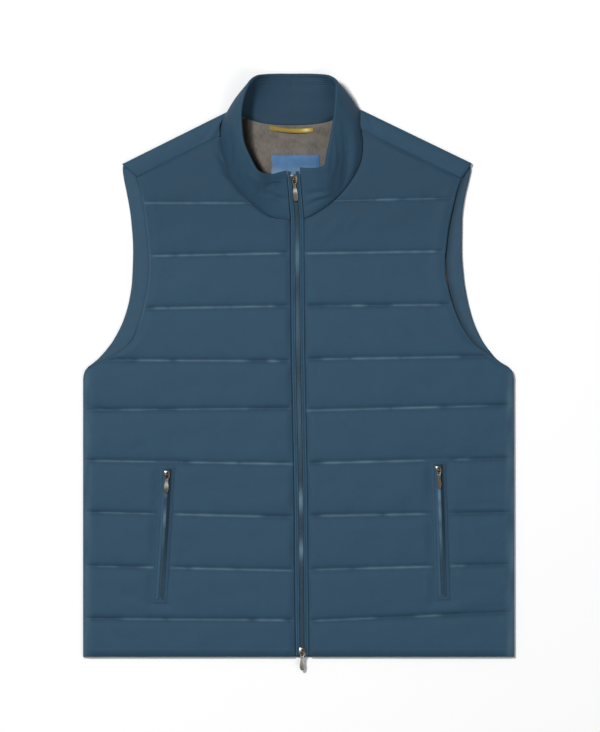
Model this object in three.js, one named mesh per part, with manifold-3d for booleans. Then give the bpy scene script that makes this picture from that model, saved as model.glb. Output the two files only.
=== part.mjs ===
// A quilted vest, laid flat on its back with the front up and the zip closed.
// Millimetres. +X is to the right of the picture, +Y towards the collar, +Z up from the surface it lies on.
// X is measured from the middle of the hem; the centre back of the collar leans a little to the left.
import * as THREE from 'three';
import * as BufferGeometryUtils from 'three/addons/utils/BufferGeometryUtils.js';
import Module from 'manifold-3d';

const wasm = await Module();
wasm.setup();

// Driving sizes
const SEAM_GAP = 0.3;
const HEM_Y = -370.5;
const BACK_THICKNESS = 4;
const LINING_THICKNESS = 1;
const FRONT_UNDERSIDE = 5.6;
const FRONT_WALL = 2.6;
const QUILT_CROWN = 3;
const EDGE_WALL = 2.4;
const SIDE_SEAM_DROP = 1.3;
const SHOULDER_STRIP = 23.5;
const FACING_WIDTH = { left: 24, right: 21.5 };
const COLLAR_PLY = 1.6;

// Colours and finishes of the real pieces
const SHELL = { color: 0x34516b, roughness: 0.62, metalness: 0 };
const LINING = { color: 0x6a665f, roughness: 0.9, metalness: 0 };
const TAPE = { color: 0x2c465e, roughness: 0.8, metalness: 0 };
const CHAIN = { color: 0x5c7488, roughness: 0.45, metalness: 0.2 };
const METAL = { color: 0x5a5650, roughness: 0.35, metalness: 0.9 };
const LOOP = { color: 0xa98a2c, roughness: 0.6, metalness: 0 };
const LABEL = { color: 0x5374a0, roughness: 0.7, metalness: 0 };

// Half widths of the whole vest at each height, left and right of the picture, from the hem to the shoulder
const SIDE_EDGE = [
  { y: -370.5, left: 280.5, right: 280.5 },
  { y: -10, left: 280.5, right: 280 },
  { y: 2.6, left: 277.6, right: 277 },
  { y: 15.6, left: 262.5, right: 258.5 },
  { y: 28.6, left: 250.6, right: 247.3 },
  { y: 41.6, left: 241, right: 238.2 },
  { y: 67.6, left: 228, right: 226.5 },
  { y: 93.6, left: 220.5, right: 219.5 },
  { y: 119.6, left: 216.8, right: 215 },
  { y: 158.6, left: 215.5, right: 212.2 },
  { y: 197.6, left: 218.1, right: 212.6 },
  { y: 223.6, left: 222, right: 215.5 },
  { y: 249.6, left: 227.2, right: 221.3 },
  { y: 266, left: 229.8, right: 225 },
];

// The fronts' armhole edge, cut deeper than the back's, so a strip of the back's facing shows beside it
const FRONT_ARMHOLE = [
  { y: 2, left: 277.8, right: 277.5 },
  { y: 14, left: 256, right: 259.5 },
  { y: 22, left: 241, right: 249 },
  { y: 33.8, left: 224, right: 231.5 },
  { y: 48, left: 213.5, right: 219.5 },
  { y: 67.6, left: 206.5, right: 208 },
  { y: 87, left: 201.5, right: 200.5 },
  { y: 106.6, left: 197.5, right: 195 },
  { y: 125, left: 195.3, right: 191 },
  { y: 145, left: 194.9, right: 190.1 },
  { y: 165, left: 196.2, right: 192 },
  { y: 184.6, left: 198.2, right: 194.3 },
  { y: 204, left: 200.5, right: 198 },
  { y: 223.6, left: 203.5, right: 202.6 },
  { y: 236.6, left: 206.4, right: 206 },
  { y: 254, left: 212.5, right: 212.8 },
];

// Heights of the hem and the nine quilting lines, at the zip edge and at the side of each front
const QUILT_LINES = [
  { leftZip: -370.5, leftSide: -370.5, rightZip: -370.5, rightSide: -370.5 },
  { leftZip: -322.5, leftSide: -320.5, rightZip: -323.5, rightSide: -312 },
  { leftZip: -258, leftSide: -252, rightZip: -257, rightSide: -250 },
  { leftZip: -188.5, leftSide: -182, rightZip: -187, rightSide: -182.5 },
  { leftZip: -119.5, leftSide: -115, rightZip: -118.5, rightSide: -112 },
  { leftZip: -47, leftSide: -49.5, rightZip: -50, rightSide: -43 },
  { leftZip: 14.3, leftSide: 15.6, rightZip: 16.5, rightSide: 20.5 },
  { leftZip: 86, leftSide: 82.6, rightZip: 85.8, rightSide: 87.5 },
  { leftZip: 154.7, leftSide: 150.8, rightZip: 154.2, rightSide: 157 },
  { leftZip: 219.7, leftSide: 219.7, rightZip: 222.5, rightSide: 226 },
];
const PANEL_TOP = { left: 306, right: 313.2 };

// Rows of points in a channel between two lines, as shares of its height
const CHANNEL_ROWS = [0, 0.1, 0.32, 0.68, 0.9];
const NECK_CHANNEL_ROWS = [0, 0.1, 0.32, 0.52, 0.64, 0.69, 0.74, 0.82, 0.92];
const SHOULDER_ROWS = [0, 0.07, 0.18, 0.3, 0.43, 0.56, 0.7, 0.84, 0.95, 1];

// The centre line of the front zip, from the hem up the collar
const ZIP_LINE = [
  { y: -368, x: 4.4, z: 8.1 },
  { y: -300, x: 3.7, z: 8.1 },
  { y: -165, x: 2.6, z: 8.1 },
  { y: -60, x: 0.8, z: 8.1 },
  { y: 60, x: -1.3, z: 8.1 },
  { y: 150, x: -1.8, z: 8.1 },
  { y: 185, x: -1.9, z: 8.3 },
  { y: 199, x: -2.1, z: 9 },
  { y: 215, x: -3.4, z: 12 },
  { y: 240, x: -5.4, z: 16.8 },
  { y: 262, x: -7.2, z: 21.1 },
];
const ZIP_GAP = 8.5;
const FRONT_CHAIN = { halfWidth: 2.6, halfThickness: 1 };
const TAPE_HALF_THICKNESS = 0.5;

// The collar's seam and top edge, from the zip on the left round the back to the zip on the right.
// bow is how far the band swells outwards between the two.
const COLLAR = [
  { seam: [-11, 197.8, 8.9], top: [-16.1, 261.5, 21], bow: 0 },
  { seam: [-24, 199.2, 8.9], top: [-25, 259.2, 24.5], bow: 0.5 },
  { seam: [-37.4, 202.8, 8.9], top: [-36.7, 256.6, 31], bow: 1 },
  { seam: [-59.5, 217.6, 8.8], top: [-52.6, 261.3, 43], bow: 2 },
  { seam: [-75.7, 233, 8.8], top: [-63.4, 280.2, 46], bow: 2.5 },
  { seam: [-89, 252.2, 9], top: [-70.6, 297.7, 47], bow: 2.5 },
  { seam: [-95.2, 274.3, 9.4], top: [-73.4, 317.3, 47.5], bow: 2.5 },
  { seam: [-100, 297.7, 9.8], top: [-73.8, 338.7, 48], bow: 2.5 },
  { seam: [-99.4, 321.5, 9.4], top: [-69.9, 357.9, 47], bow: 2 },
  { seam: [-88.5, 339.6, 7.2], top: [-62.4, 376.4, 40], bow: 1.5 },
  { seam: [-72.5, 331.5, 4.9], top: [-54, 384.4, 27], bow: 1 },
  { seam: [-53, 325, 3.8], top: [-43, 387, 13], bow: 0.5 },
  { seam: [-32.2, 321.8, 3.3], top: [-27, 388, 6.5], bow: 0 },
  { seam: [-9.4, 321, 3.1], top: [-9.4, 388, 5], bow: 0 },
  { seam: [13.3, 321.8, 3.3], top: [10.7, 388, 6.5], bow: 0 },
  { seam: [35.4, 325, 3.8], top: [29.4, 387, 13], bow: 0.5 },
  { seam: [57.5, 332, 4.9], top: [40, 384.2, 26], bow: 1 },
  { seam: [76.5, 341, 7.2], top: [47.8, 376.4, 39], bow: 1.5 },
  { seam: [78.8, 319.2, 9.4], top: [47.6, 358.8, 44], bow: 2 },
  { seam: [81.7, 296.8, 9.8], top: [46, 340.1, 42], bow: 2.5 },
  { seam: [79.9, 274.3, 9.4], top: [43.9, 321.6, 40], bow: 2.5 },
  { seam: [70.4, 254.2, 9], top: [40.9, 303.4, 39.5], bow: 2.5 },
  { seam: [57, 235.3, 8.8], top: [36.8, 284.5, 40], bow: 2.5 },
  { seam: [39.3, 218.5, 8.8], top: [33, 268.5, 37], bow: 2 },
  { seam: [19.8, 205.4, 8.9], top: [21.1, 264.8, 28], bow: 1 },
  { seam: [6.9, 199.2, 8.9], top: [1.5, 265.5, 21.4], bow: 0 },
];
const COLLAR_STEPS_PER_STATION = 2;
const COLLAR_HEIGHT_STEPS = 4;

// The shoulder lines: where the fold starts at the neck and its direction out to the armhole
const SHOULDER_LINE = {
  left: { start: [-88, 341], end: [-219.4, 275.6] },
  right: { start: [78, 342.5], end: [216.5, 275.6] },
};
// How far along the fold the strip begins beside the collar, at depths in from the fold
const STRIP_NECK_END = [
  { depth: 0, left: 5.5, right: 3.5 },
  { depth: 6, left: 16, right: 6.5 },
  { depth: 12, left: 24, right: 9.5 },
  { depth: 24, left: 29.2, right: 14.5 },
];
// Where along the fold it ends at the armhole, in the same way
const STRIP_ARM_END = [
  { depth: 0, left: 158.5, right: 163.5 },
  { depth: 6, left: 156.5, right: 163 },
  { depth: 12, left: 154, right: 162 },
  { depth: 24, left: 149, right: 160 },
];
// The strip's section: depth in from the fold, and height
const STRIP_SECTION = [
  { depth: 9, z: 0 },
  { depth: 3, z: 0 },
  { depth: 0.9, z: 1.2 },
  { depth: 0, z: 4.4 },
  { depth: 0.9, z: 7.4 },
  { depth: 3.4, z: 9.2 },
  { depth: 10, z: 10.2 },
  { depth: 17, z: 9.8 },
  { depth: 22, z: 8.9 },
  { depth: SHOULDER_STRIP, z: 8 },
  { depth: SHOULDER_STRIP, z: 6 },
  { depth: 10, z: 6 },
  { depth: 5, z: 5.4 },
  { depth: 4.2, z: 3 },
  { depth: 9, z: 3 },
];

// The pockets: the axis of each zip, top and bottom, as distances out from the middle
const POCKET = {
  left: { top: [170.6, -122], bottom: [181, -301] },
  right: { top: [181.4, -116], bottom: [187.2, -297] },
};
const POCKET_SEAT = { halfWidth: 12.2, blend: 5, wall: 1.4, above: 6, below: 17 };
const WELT = { halfWidth: 10.2, openingHalf: 5.2, thickness: 3, endBar: 5 };
const POCKET_CHAIN = { halfWidth: 2, halfThickness: 0.9 };
const POCKET_ZIP_Z = 9.7;

// Sliders and pull tabs. Lengths run along the zip, heights up from the chain's middle.
const SLIDER = {
  front: { halfLength: 5.4, nose: 4.5, tail: 3.7, plateIn: 1.35, plateOut: 2.4 },
  pocket: { halfLength: 4.6, nose: 3.7, tail: 3.1, plateIn: 1.2, plateOut: 2.15 },
};
const BAIL = { halfWidth: 1, halfLength: 3.3, leg: 1, height: 4.5, window: 3.3, pivot: 1.8 };
const TAB_EYE = { bar: 0.75, opening: 1.5, length: 5.4 };
const TAB_THICKNESS = 1.5;
const TAB = {
  long: [
    { at: 0, half: 3 }, { at: 5.5, half: 3 }, { at: 9.5, half: 2 }, { at: 13, half: 2.2 },
    { at: 19, half: 3.4 }, { at: 25, half: 3.6 }, { at: 28.5, half: 2.8 }, { at: 30, half: 1.3 },
  ],
  short: [
    { at: 0, half: 2.9 }, { at: 5.5, half: 2.8 }, { at: 9, half: 1.8 }, { at: 13, half: 2.3 },
    { at: 17.5, half: 3.1 }, { at: 21.5, half: 3.1 }, { at: 24, half: 2.2 }, { at: 25, half: 1 },
  ],
};

const HANGER_LOOP = { left: -38, right: 19, topY: 320.3, sag: 8, width: 6.5, thickness: 1.2, rise: 3.5 };
const NECK_LABEL = { left: -36, right: 27.5, top: 282.5, bottom: 251, thickness: 1 };

// Reading the tables

function mix(a, b, share) {
  return a + (b - a) * share;
}

function easeStep(edge0, edge1, value) {
  const share = Math.min(Math.max((value - edge0) / (edge1 - edge0), 0), 1);
  return share * share * (3 - 2 * share);
}

// The value of a column at a height, along a smooth curve through the rows
function along(rows, column, at, key = 'y') {
  let i = 0;
  while (i < rows.length - 2 && rows[i + 1][key] < at) i += 1;
  const low = rows[i];
  const high = rows[i + 1];
  const before = rows[Math.max(i - 1, 0)];
  const after = rows[Math.min(i + 2, rows.length - 1)];
  const span = high[key] - low[key];
  const share = Math.min(Math.max((at - low[key]) / span, 0), 1);
  const step = (high[column] - low[column]) / span;
  const slopeLow = before === low ? step : limitedSlope(before, low, high, column, key);
  const slopeHigh = after === high ? step : limitedSlope(low, high, after, column, key);
  const s2 = share * share;
  const s3 = s2 * share;
  return (2 * s3 - 3 * s2 + 1) * low[column] + (s3 - 2 * s2 + share) * span * slopeLow
    + (3 * s2 - 2 * s3) * high[column] + (s3 - s2) * span * slopeHigh;
}

// The slope at a middle row, kept from overshooting where the rows turn
function limitedSlope(before, middle, after, column, key) {
  const in1 = (middle[column] - before[column]) / (middle[key] - before[key]);
  const out1 = (after[column] - middle[column]) / (after[key] - middle[key]);
  if (in1 * out1 <= 0) return 0;
  return (2 * in1 * out1) / (in1 + out1);
}

const sideSign = { left: -1, right: 1 };

function zipX(y) {
  return along(ZIP_LINE, 'x', y);
}

function zipZ(y) {
  return along(ZIP_LINE, 'z', y);
}

// A smooth point between collar stations, where u counts stations from the left end
function collarStation(u) {
  const i = Math.min(Math.floor(u), COLLAR.length - 2);
  const share = u - i;
  const rows = [-1, 0, 1, 2].map((d) => COLLAR[Math.min(Math.max(i + d, 0), COLLAR.length - 1)]);
  const blend = (pick) => {
    const [p0, p1, p2, p3] = rows.map(pick);
    return 0.5 * (2 * p1 + (p2 - p0) * share + (2 * p0 - 5 * p1 + 4 * p2 - p3) * share ** 2
      + (3 * p1 - p0 - 3 * p2 + p3) * share ** 3);
  };
  return {
    seam: new THREE.Vector3(blend((r) => r.seam[0]), blend((r) => r.seam[1]), blend((r) => r.seam[2])),
    top: new THREE.Vector3(blend((r) => r.top[0]), blend((r) => r.top[1]), blend((r) => r.top[2])),
    bow: blend((r) => r.bow),
  };
}

// The collar's seam in plan, moved outwards from the neck by a clearance
function seamOutwards(from, to, clearance) {
  const points = [];
  const steps = Math.round(Math.abs(to - from) * 3);
  for (let i = 0; i <= steps; i += 1) {
    const u = mix(from, to, i / steps);
    const here = collarStation(u).seam;
    const before = collarStation(Math.max(u - 0.2, 0)).seam;
    const after = collarStation(Math.min(u + 0.2, COLLAR.length - 1)).seam;
    const run = new THREE.Vector2(after.x - before.x, after.y - before.y).normalize();
    points.push(new THREE.Vector2(here.x - run.y * clearance, here.y + run.x * clearance));
  }
  return points;
}

const LEFT_SHOULDER_STATION = 9;
const RIGHT_SHOULDER_STATION = 17;
const FRONT_NECK_CLEARANCE = 1.5;

const frontNeck = {
  left: seamOutwards(0, LEFT_SHOULDER_STATION, FRONT_NECK_CLEARANCE),
  right: seamOutwards(COLLAR.length - 1, RIGHT_SHOULDER_STATION, FRONT_NECK_CLEARANCE),
};

// Distance out from the middle to a front's inner edge: the zip, then the collar seam
function frontInner(side, y) {
  const sign = sideSign[side];
  const zipEdge = sign * zipX(y) + ZIP_GAP;
  const neck = frontNeck[side];
  if (y <= neck[0].y) return zipEdge;
  let i = 0;
  while (i < neck.length - 2 && neck[i + 1].y < y) i += 1;
  const share = Math.min((y - neck[i].y) / (neck[i + 1].y - neck[i].y), 1);
  return Math.max(sign * mix(neck[i].x, neck[i + 1].x, share), zipEdge);
}

// The shoulder line's frame: along runs out to the armhole, depth runs in from the fold towards the hem
function shoulderFrame(side) {
  const start = new THREE.Vector2(...SHOULDER_LINE[side].start);
  const end = new THREE.Vector2(...SHOULDER_LINE[side].end);
  const run = end.clone().sub(start).normalize();
  const inwards = new THREE.Vector2(run.y, -run.x).multiplyScalar(sideSign[side]);
  return { start, run, inwards };
}

function shoulderPoint(side, alongFold, depth) {
  const { start, run, inwards } = shoulderFrame(side);
  return start.clone().addScaledVector(run, alongFold).addScaledVector(inwards, depth);
}

// Distance out from the middle to a front's outer edge: side seam, armhole, then the shoulder strip's seam
function frontOuter(side, y) {
  const sign = sideSign[side];
  const { run } = shoulderFrame(side);
  const seamStart = shoulderPoint(side, 0, SHOULDER_STRIP + 2 * SEAM_GAP);
  const onSeam = sign * seamStart.x + ((y - seamStart.y) / run.y) * sign * run.x;
  if (y < FRONT_ARMHOLE[0].y) return along(SIDE_EDGE, side, y);
  return Math.min(along(FRONT_ARMHOLE, side, y), onSeam);
}

// Building solids from points

function toGeometry(points, triangles) {
  const position = new Float32Array(triangles.length * 9);
  triangles.forEach((corners, t) => {
    corners.forEach((index, c) => points[index].toArray(position, t * 9 + c * 3));
  });
  const geometry = new THREE.BufferGeometry();
  geometry.setAttribute('position', new THREE.BufferAttribute(position, 3));
  geometry.computeVertexNormals();
  return geometry;
}

function signedVolume(points, triangles) {
  const cross = new THREE.Vector3();
  return triangles.reduce((sum, [a, b, c]) => {
    cross.crossVectors(points[b], points[c]);
    return sum + points[a].dot(cross) / 6;
  }, 0);
}

// A closed wall between two grids of points that have the same rows and columns
function wallBetween(outer, inner) {
  const rows = outer.length;
  const columns = outer[0].length;
  const points = [...outer.flat(), ...inner.flat()];
  const half = rows * columns;
  const at = (r, c) => r * columns + c;
  const triangles = [];
  const quad = (a, b, c, d) => triangles.push([a, b, c], [a, c, d]);
  for (let r = 0; r < rows - 1; r += 1) {
    for (let c = 0; c < columns - 1; c += 1) {
      quad(at(r, c), at(r, c + 1), at(r + 1, c + 1), at(r + 1, c));
      quad(half + at(r, c), half + at(r + 1, c), half + at(r + 1, c + 1), half + at(r, c + 1));
    }
  }
  const rim = [];
  for (let c = 0; c < columns - 1; c += 1) rim.push(at(0, c));
  for (let r = 0; r < rows - 1; r += 1) rim.push(at(r, columns - 1));
  for (let c = columns - 1; c > 0; c -= 1) rim.push(at(rows - 1, c));
  for (let r = rows - 1; r > 0; r -= 1) rim.push(at(r, 0));
  rim.forEach((a, i) => {
    const b = rim[(i + 1) % rim.length];
    quad(b, a, half + a, half + b);
  });
  if (signedVolume(points, triangles) < 0) triangles.forEach((t) => t.reverse());
  return toGeometry(points, triangles);
}

function merged(geometry) {
  const bare = new THREE.BufferGeometry();
  bare.setAttribute('position', geometry.getAttribute('position').clone());
  if (geometry.index) bare.setIndex(geometry.index.clone());
  return BufferGeometryUtils.mergeVertices(bare, 1e-4);
}

function toManifold(geometry) {
  const welded = merged(geometry);
  return new wasm.Manifold(new wasm.Mesh({
    numProp: 3,
    vertProperties: new Float32Array(welded.getAttribute('position').array),
    triVerts: new Uint32Array(welded.index.array),
  }));
}

function fromManifold(solid) {
  const mesh = solid.getMesh();
  const geometry = new THREE.BufferGeometry();
  geometry.setAttribute('position', new THREE.BufferAttribute(new Float32Array(mesh.vertProperties), 3));
  geometry.setIndex(new THREE.BufferAttribute(new Uint32Array(mesh.triVerts), 1));
  return geometry.toNonIndexed();
}

function piece(name, geometry, finish) {
  const mesh = new THREE.Mesh(geometry, new THREE.MeshStandardMaterial(finish));
  mesh.name = name;
  return mesh;
}

// A plate of an outline in plan, from one height to another
function plate(outline, bottom, top, holes = []) {
  const anticlockwise = THREE.ShapeUtils.isClockWise(outline) ? [...outline].reverse() : outline;
  const shape = new THREE.Shape(anticlockwise);
  holes.forEach((hole) => shape.holes.push(new THREE.Path(hole)));
  const geometry = new THREE.ExtrudeGeometry(shape, { depth: top - bottom, bevelEnabled: false });
  geometry.translate(0, 0, bottom);
  return geometry;
}

// The front panels

// Where the pocket's seat lies, in distance out from the middle
function pocketAxis(side, y) {
  const { top, bottom } = POCKET[side];
  return mix(bottom[0], top[0], (Math.min(y, 0) - bottom[1]) / (top[1] - bottom[1]));
}

// Columns of points across a front, as shares of its width, with four that follow the pocket
function columnShares(side, y) {
  const inner = frontInner(side, y);
  const width = frontOuter(side, y) - inner;
  const axis = Math.min(Math.max((pocketAxis(side, y) - inner) / width, 0.56), 0.68);
  const near = Math.min(POCKET_SEAT.halfWidth / width, 0.05);
  const far = Math.min((POCKET_SEAT.halfWidth + POCKET_SEAT.blend) / width, 0.08);
  return [0, 0.022, 0.08, 0.22, 0.36, axis - far, axis - near, axis + near, axis + far, 0.86, 0.945, 0.982, 1];
}

function channelLow(side, channel, share) {
  const row = QUILT_LINES[channel];
  return mix(row[`${side}Zip`], row[`${side}Side`], share);
}

function rowHeight(side, channel, part, share) {
  const low = channelLow(side, channel, share);
  const high = channel + 1 < QUILT_LINES.length ? channelLow(side, channel + 1, share) : PANEL_TOP[side];
  return mix(low, high, part);
}

function quiltSwell(channel, part) {
  if (channel + 1 < QUILT_LINES.length) return (1 - Math.abs(2 * part - 1) ** 3.4) ** 0.8;
  return (1 - Math.abs(2 * part - 1) ** 3.4) ** 0.8 * 0.75;
}

function pocketShare(side, out, y) {
  const { top, bottom } = POCKET[side];
  const across = Math.abs(out - pocketAxis(side, y));
  const beside = 1 - easeStep(POCKET_SEAT.halfWidth + 0.2, POCKET_SEAT.halfWidth + POCKET_SEAT.blend, across);
  const within = y < top[1] + POCKET_SEAT.above && y > bottom[1] - POCKET_SEAT.below;
  return within ? beside : 0;
}

function frontPanel(side) {
  const sign = sideSign[side];
  const outerGrid = [];
  const innerGrid = [];
  QUILT_LINES.forEach((line, channel) => {
    let parts = CHANNEL_ROWS;
    if (channel === QUILT_LINES.length - 2) parts = NECK_CHANNEL_ROWS;
    if (channel === QUILT_LINES.length - 1) parts = SHOULDER_ROWS;
    parts.forEach((part) => {
      const outerRow = [];
      const innerRow = [];
      const middleY = rowHeight(side, channel, part, 0.5);
      columnShares(side, middleY).forEach((share) => {
        const y = rowHeight(side, channel, part, share);
        const inner = frontInner(side, rowHeight(side, channel, part, 0));
        const outer = frontOuter(side, rowHeight(side, channel, part, 1));
        const out = mix(inner, outer, share);
        const fromEdge = Math.min(out - inner, outer - out);
        const fade = easeStep(-2, 16, fromEdge);
        const swell = quiltSwell(channel, part) * fade * QUILT_CROWN;
        const seat = pocketShare(side, out, y);
        const open = mix(EDGE_WALL, FRONT_WALL, fade) + swell;
        const wall = mix(open, POCKET_SEAT.wall, seat);
        const besideSeam = 1 - easeStep(0, 9, outer - out);
        const belowArm = 1 - easeStep(-18, 0, y);
        const under = FRONT_UNDERSIDE - SIDE_SEAM_DROP * besideSeam * belowArm;
        outerRow.push(new THREE.Vector3(sign * out, y, under + wall));
        innerRow.push(new THREE.Vector3(sign * out, y, under));
      });
      outerGrid.push(outerRow);
      innerGrid.push(innerRow);
    });
  });
  return piece(`front_${side}`, wallBetween(outerGrid, innerGrid), SHELL);
}

// The back, with the shoulder strips that fold over to the front

function sideOutline(side, heights, inset = 0) {
  return heights.map((y) => new THREE.Vector2(sideSign[side] * (along(SIDE_EDGE, side, y) - inset), y));
}

function heightsBetween(low, high, steps) {
  return Array.from({ length: steps + 1 }, (_, i) => mix(low, high, i / steps));
}

// The back's neck edge from the right shoulder to the left one, starting so many stations in from each
function backNeckEdge({ stationsIn, clearance }) {
  return seamOutwards(RIGHT_SHOULDER_STATION - stationsIn, LEFT_SHOULDER_STATION + stationsIn, clearance);
}

function backOutline() {
  const heights = [HEM_Y, -12, -4, 2.6, 9, 15.6, ...heightsBetween(24, 262, 16), 267];
  const shoulderInset = 1.5;
  const neckEnd = 6;
  const armEnd = (side) => along(STRIP_ARM_END, side, 0, 'depth') + 1;
  return [
    ...sideOutline('right', heights),
    shoulderPoint('right', armEnd('right'), shoulderInset),
    shoulderPoint('right', neckEnd, shoulderInset),
    ...backNeckEdge({ stationsIn: 0.35, clearance: -1 }),
    shoulderPoint('left', neckEnd, shoulderInset),
    shoulderPoint('left', armEnd('left'), shoulderInset),
    ...sideOutline('left', heights).reverse(),
  ];
}

function shoulderStrip(side) {
  const sections = [0, 0.5, 1].map((share) => STRIP_SECTION.map(({ depth, z }) => {
    const neckEnd = along(STRIP_NECK_END, side, depth, 'depth');
    const armEnd = along(STRIP_ARM_END, side, depth, 'depth');
    const flat = shoulderPoint(side, mix(neckEnd, armEnd, share), depth);
    return new THREE.Vector3(flat.x, flat.y, z);
  }));
  return capped(sections);
}

// A closed solid through sections that are loops of the same number of points
function capped(sections) {
  const count = sections[0].length;
  const points = sections.flat();
  const flatSection = sections[0].map((p, i) => new THREE.Vector2(STRIP_SECTION[i].depth, STRIP_SECTION[i].z));
  const faces = THREE.ShapeUtils.triangulateShape(flatSection, []);
  const lastStart = points.length - count;
  const triangles = faces.map(([a, b, c]) => [a, b, c]);
  faces.forEach(([a, b, c]) => triangles.push([lastStart + c, lastStart + b, lastStart + a]));
  const clockwise = THREE.ShapeUtils.isClockWise(flatSection);
  for (let s = 0; s < sections.length - 1; s += 1) {
    for (let i = 0; i < count; i += 1) {
      const j = (i + 1) % count;
      const [a, b] = [s * count + i, s * count + j];
      const [c, d] = [b + count, a + count];
      if (clockwise) triangles.push([a, b, c], [a, c, d]);
      else triangles.push([a, c, b], [a, d, c]);
    }
  }
  if (signedVolume(points, triangles) < 0) triangles.forEach((t) => t.reverse());
  return toGeometry(points, triangles);
}

function back() {
  const slab = toManifold(plate(backOutline(), 0, BACK_THICKNESS));
  const whole = ['left', 'right'].reduce((solid, side) => solid.add(toManifold(shoulderStrip(side))), slab);
  return piece('back', fromManifold(whole), SHELL);
}

const FACING_HEIGHTS = [6, 14, 22, 30, 40, 50, 62, 75, 90, 105, 120, 140, 160, 180, 200, 220, 240, 264];
// How far the lining stops short of the side seams, and its corners along and in from the shoulder folds
const LINING_SIDE_INSET = 13;
const LINING_CORNER = { left: [30, 7], right: [22, 7] };

// The lining of the back: all that the facings leave, up to the back neck seam
function backLining() {
  const bottom = BACK_THICKNESS + SEAM_GAP;
  const top = bottom + LINING_THICKNESS;
  const low = [-350, -60, -12];
  const edge = (side) => [
    ...sideOutline(side, low, LINING_SIDE_INSET),
    ...sideOutline(side, FACING_HEIGHTS, FACING_WIDTH[side] + SEAM_GAP),
  ];
  const outline = [
    ...edge('right'),
    shoulderPoint('right', ...LINING_CORNER.right),
    ...backNeckEdge({ stationsIn: 0.6, clearance: -1.2 }),
    shoulderPoint('left', ...LINING_CORNER.left),
    ...edge('left').reverse(),
  ];
  return piece('back_lining', plate(outline, bottom, top), LINING);
}

function armholeFacing(side) {
  const sign = sideSign[side];
  const bottom = BACK_THICKNESS + SEAM_GAP;
  const grid = (z) => FACING_HEIGHTS.map((y) => {
    const edge = along(SIDE_EDGE, side, y);
    return [edge - 0.4, edge - FACING_WIDTH[side]].map((out) => new THREE.Vector3(sign * out, y, z));
  });
  return piece(`armhole_facing_${side}`, wallBetween(grid(bottom + LINING_THICKNESS), grid(bottom)), SHELL);
}

// The collar: an outer and an inner band, one ply apart

function collarGrid(distance) {
  const steps = (COLLAR.length - 1) * COLLAR_STEPS_PER_STATION;
  const middle = (u, v) => {
    const station = collarStation(Math.min(Math.max(u, 0), COLLAR.length - 1));
    return station.seam.clone().lerp(station.top, v);
  };
  const normal = (u, v) => {
    const step = 0.25;
    const run = middle(u + step, v).sub(middle(u - step, v));
    const rise = middle(u, 1).sub(middle(u, 0));
    return rise.cross(run).normalize();
  };
  const grid = [];
  for (let i = 0; i <= steps; i += 1) {
    const u = i / COLLAR_STEPS_PER_STATION;
    const { bow } = collarStation(u);
    const row = [];
    for (let j = 0; j <= COLLAR_HEIGHT_STEPS; j += 1) {
      const v = j / COLLAR_HEIGHT_STEPS;
      const swell = bow * Math.sin(Math.PI * v);
      row.push(middle(u, v).addScaledVector(normal(u, v), distance + swell));
    }
    grid.push(row);
  }
  return grid;
}

function collarBand(name, near, far) {
  return piece(name, wallBetween(collarGrid(far), collarGrid(near)), SHELL);
}

// Zips

function stripAlongZip(name, fromY, toY, left, right, halfThickness, finish) {
  const heights = [fromY, ...ZIP_LINE.map((row) => row.y).filter((y) => y > fromY + 3 && y < toY - 3), toY];
  const grid = (lift) => heights.map((y) => [left, right].map((x) => (
    new THREE.Vector3(zipX(y) + x, y, zipZ(y) + lift))));
  return piece(name, wallBetween(grid(halfThickness), grid(-halfThickness)), finish);
}

function frontZip() {
  const tapeInner = FRONT_CHAIN.halfWidth + SEAM_GAP;
  const tapeOuter = ZIP_GAP - SEAM_GAP;
  const hemEnd = HEM_Y + 2;
  const collarEnd = 260.5;
  return [
    stripAlongZip('front_zip_tape_left', hemEnd, collarEnd, -tapeOuter, -tapeInner, TAPE_HALF_THICKNESS, TAPE),
    stripAlongZip('front_zip_tape_right', hemEnd, collarEnd, tapeInner, tapeOuter, TAPE_HALF_THICKNESS, TAPE),
    stripAlongZip('front_zip_chain', -365.2, 252.3, -FRONT_CHAIN.halfWidth, FRONT_CHAIN.halfWidth,
      FRONT_CHAIN.halfThickness, CHAIN),
  ];
}

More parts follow.
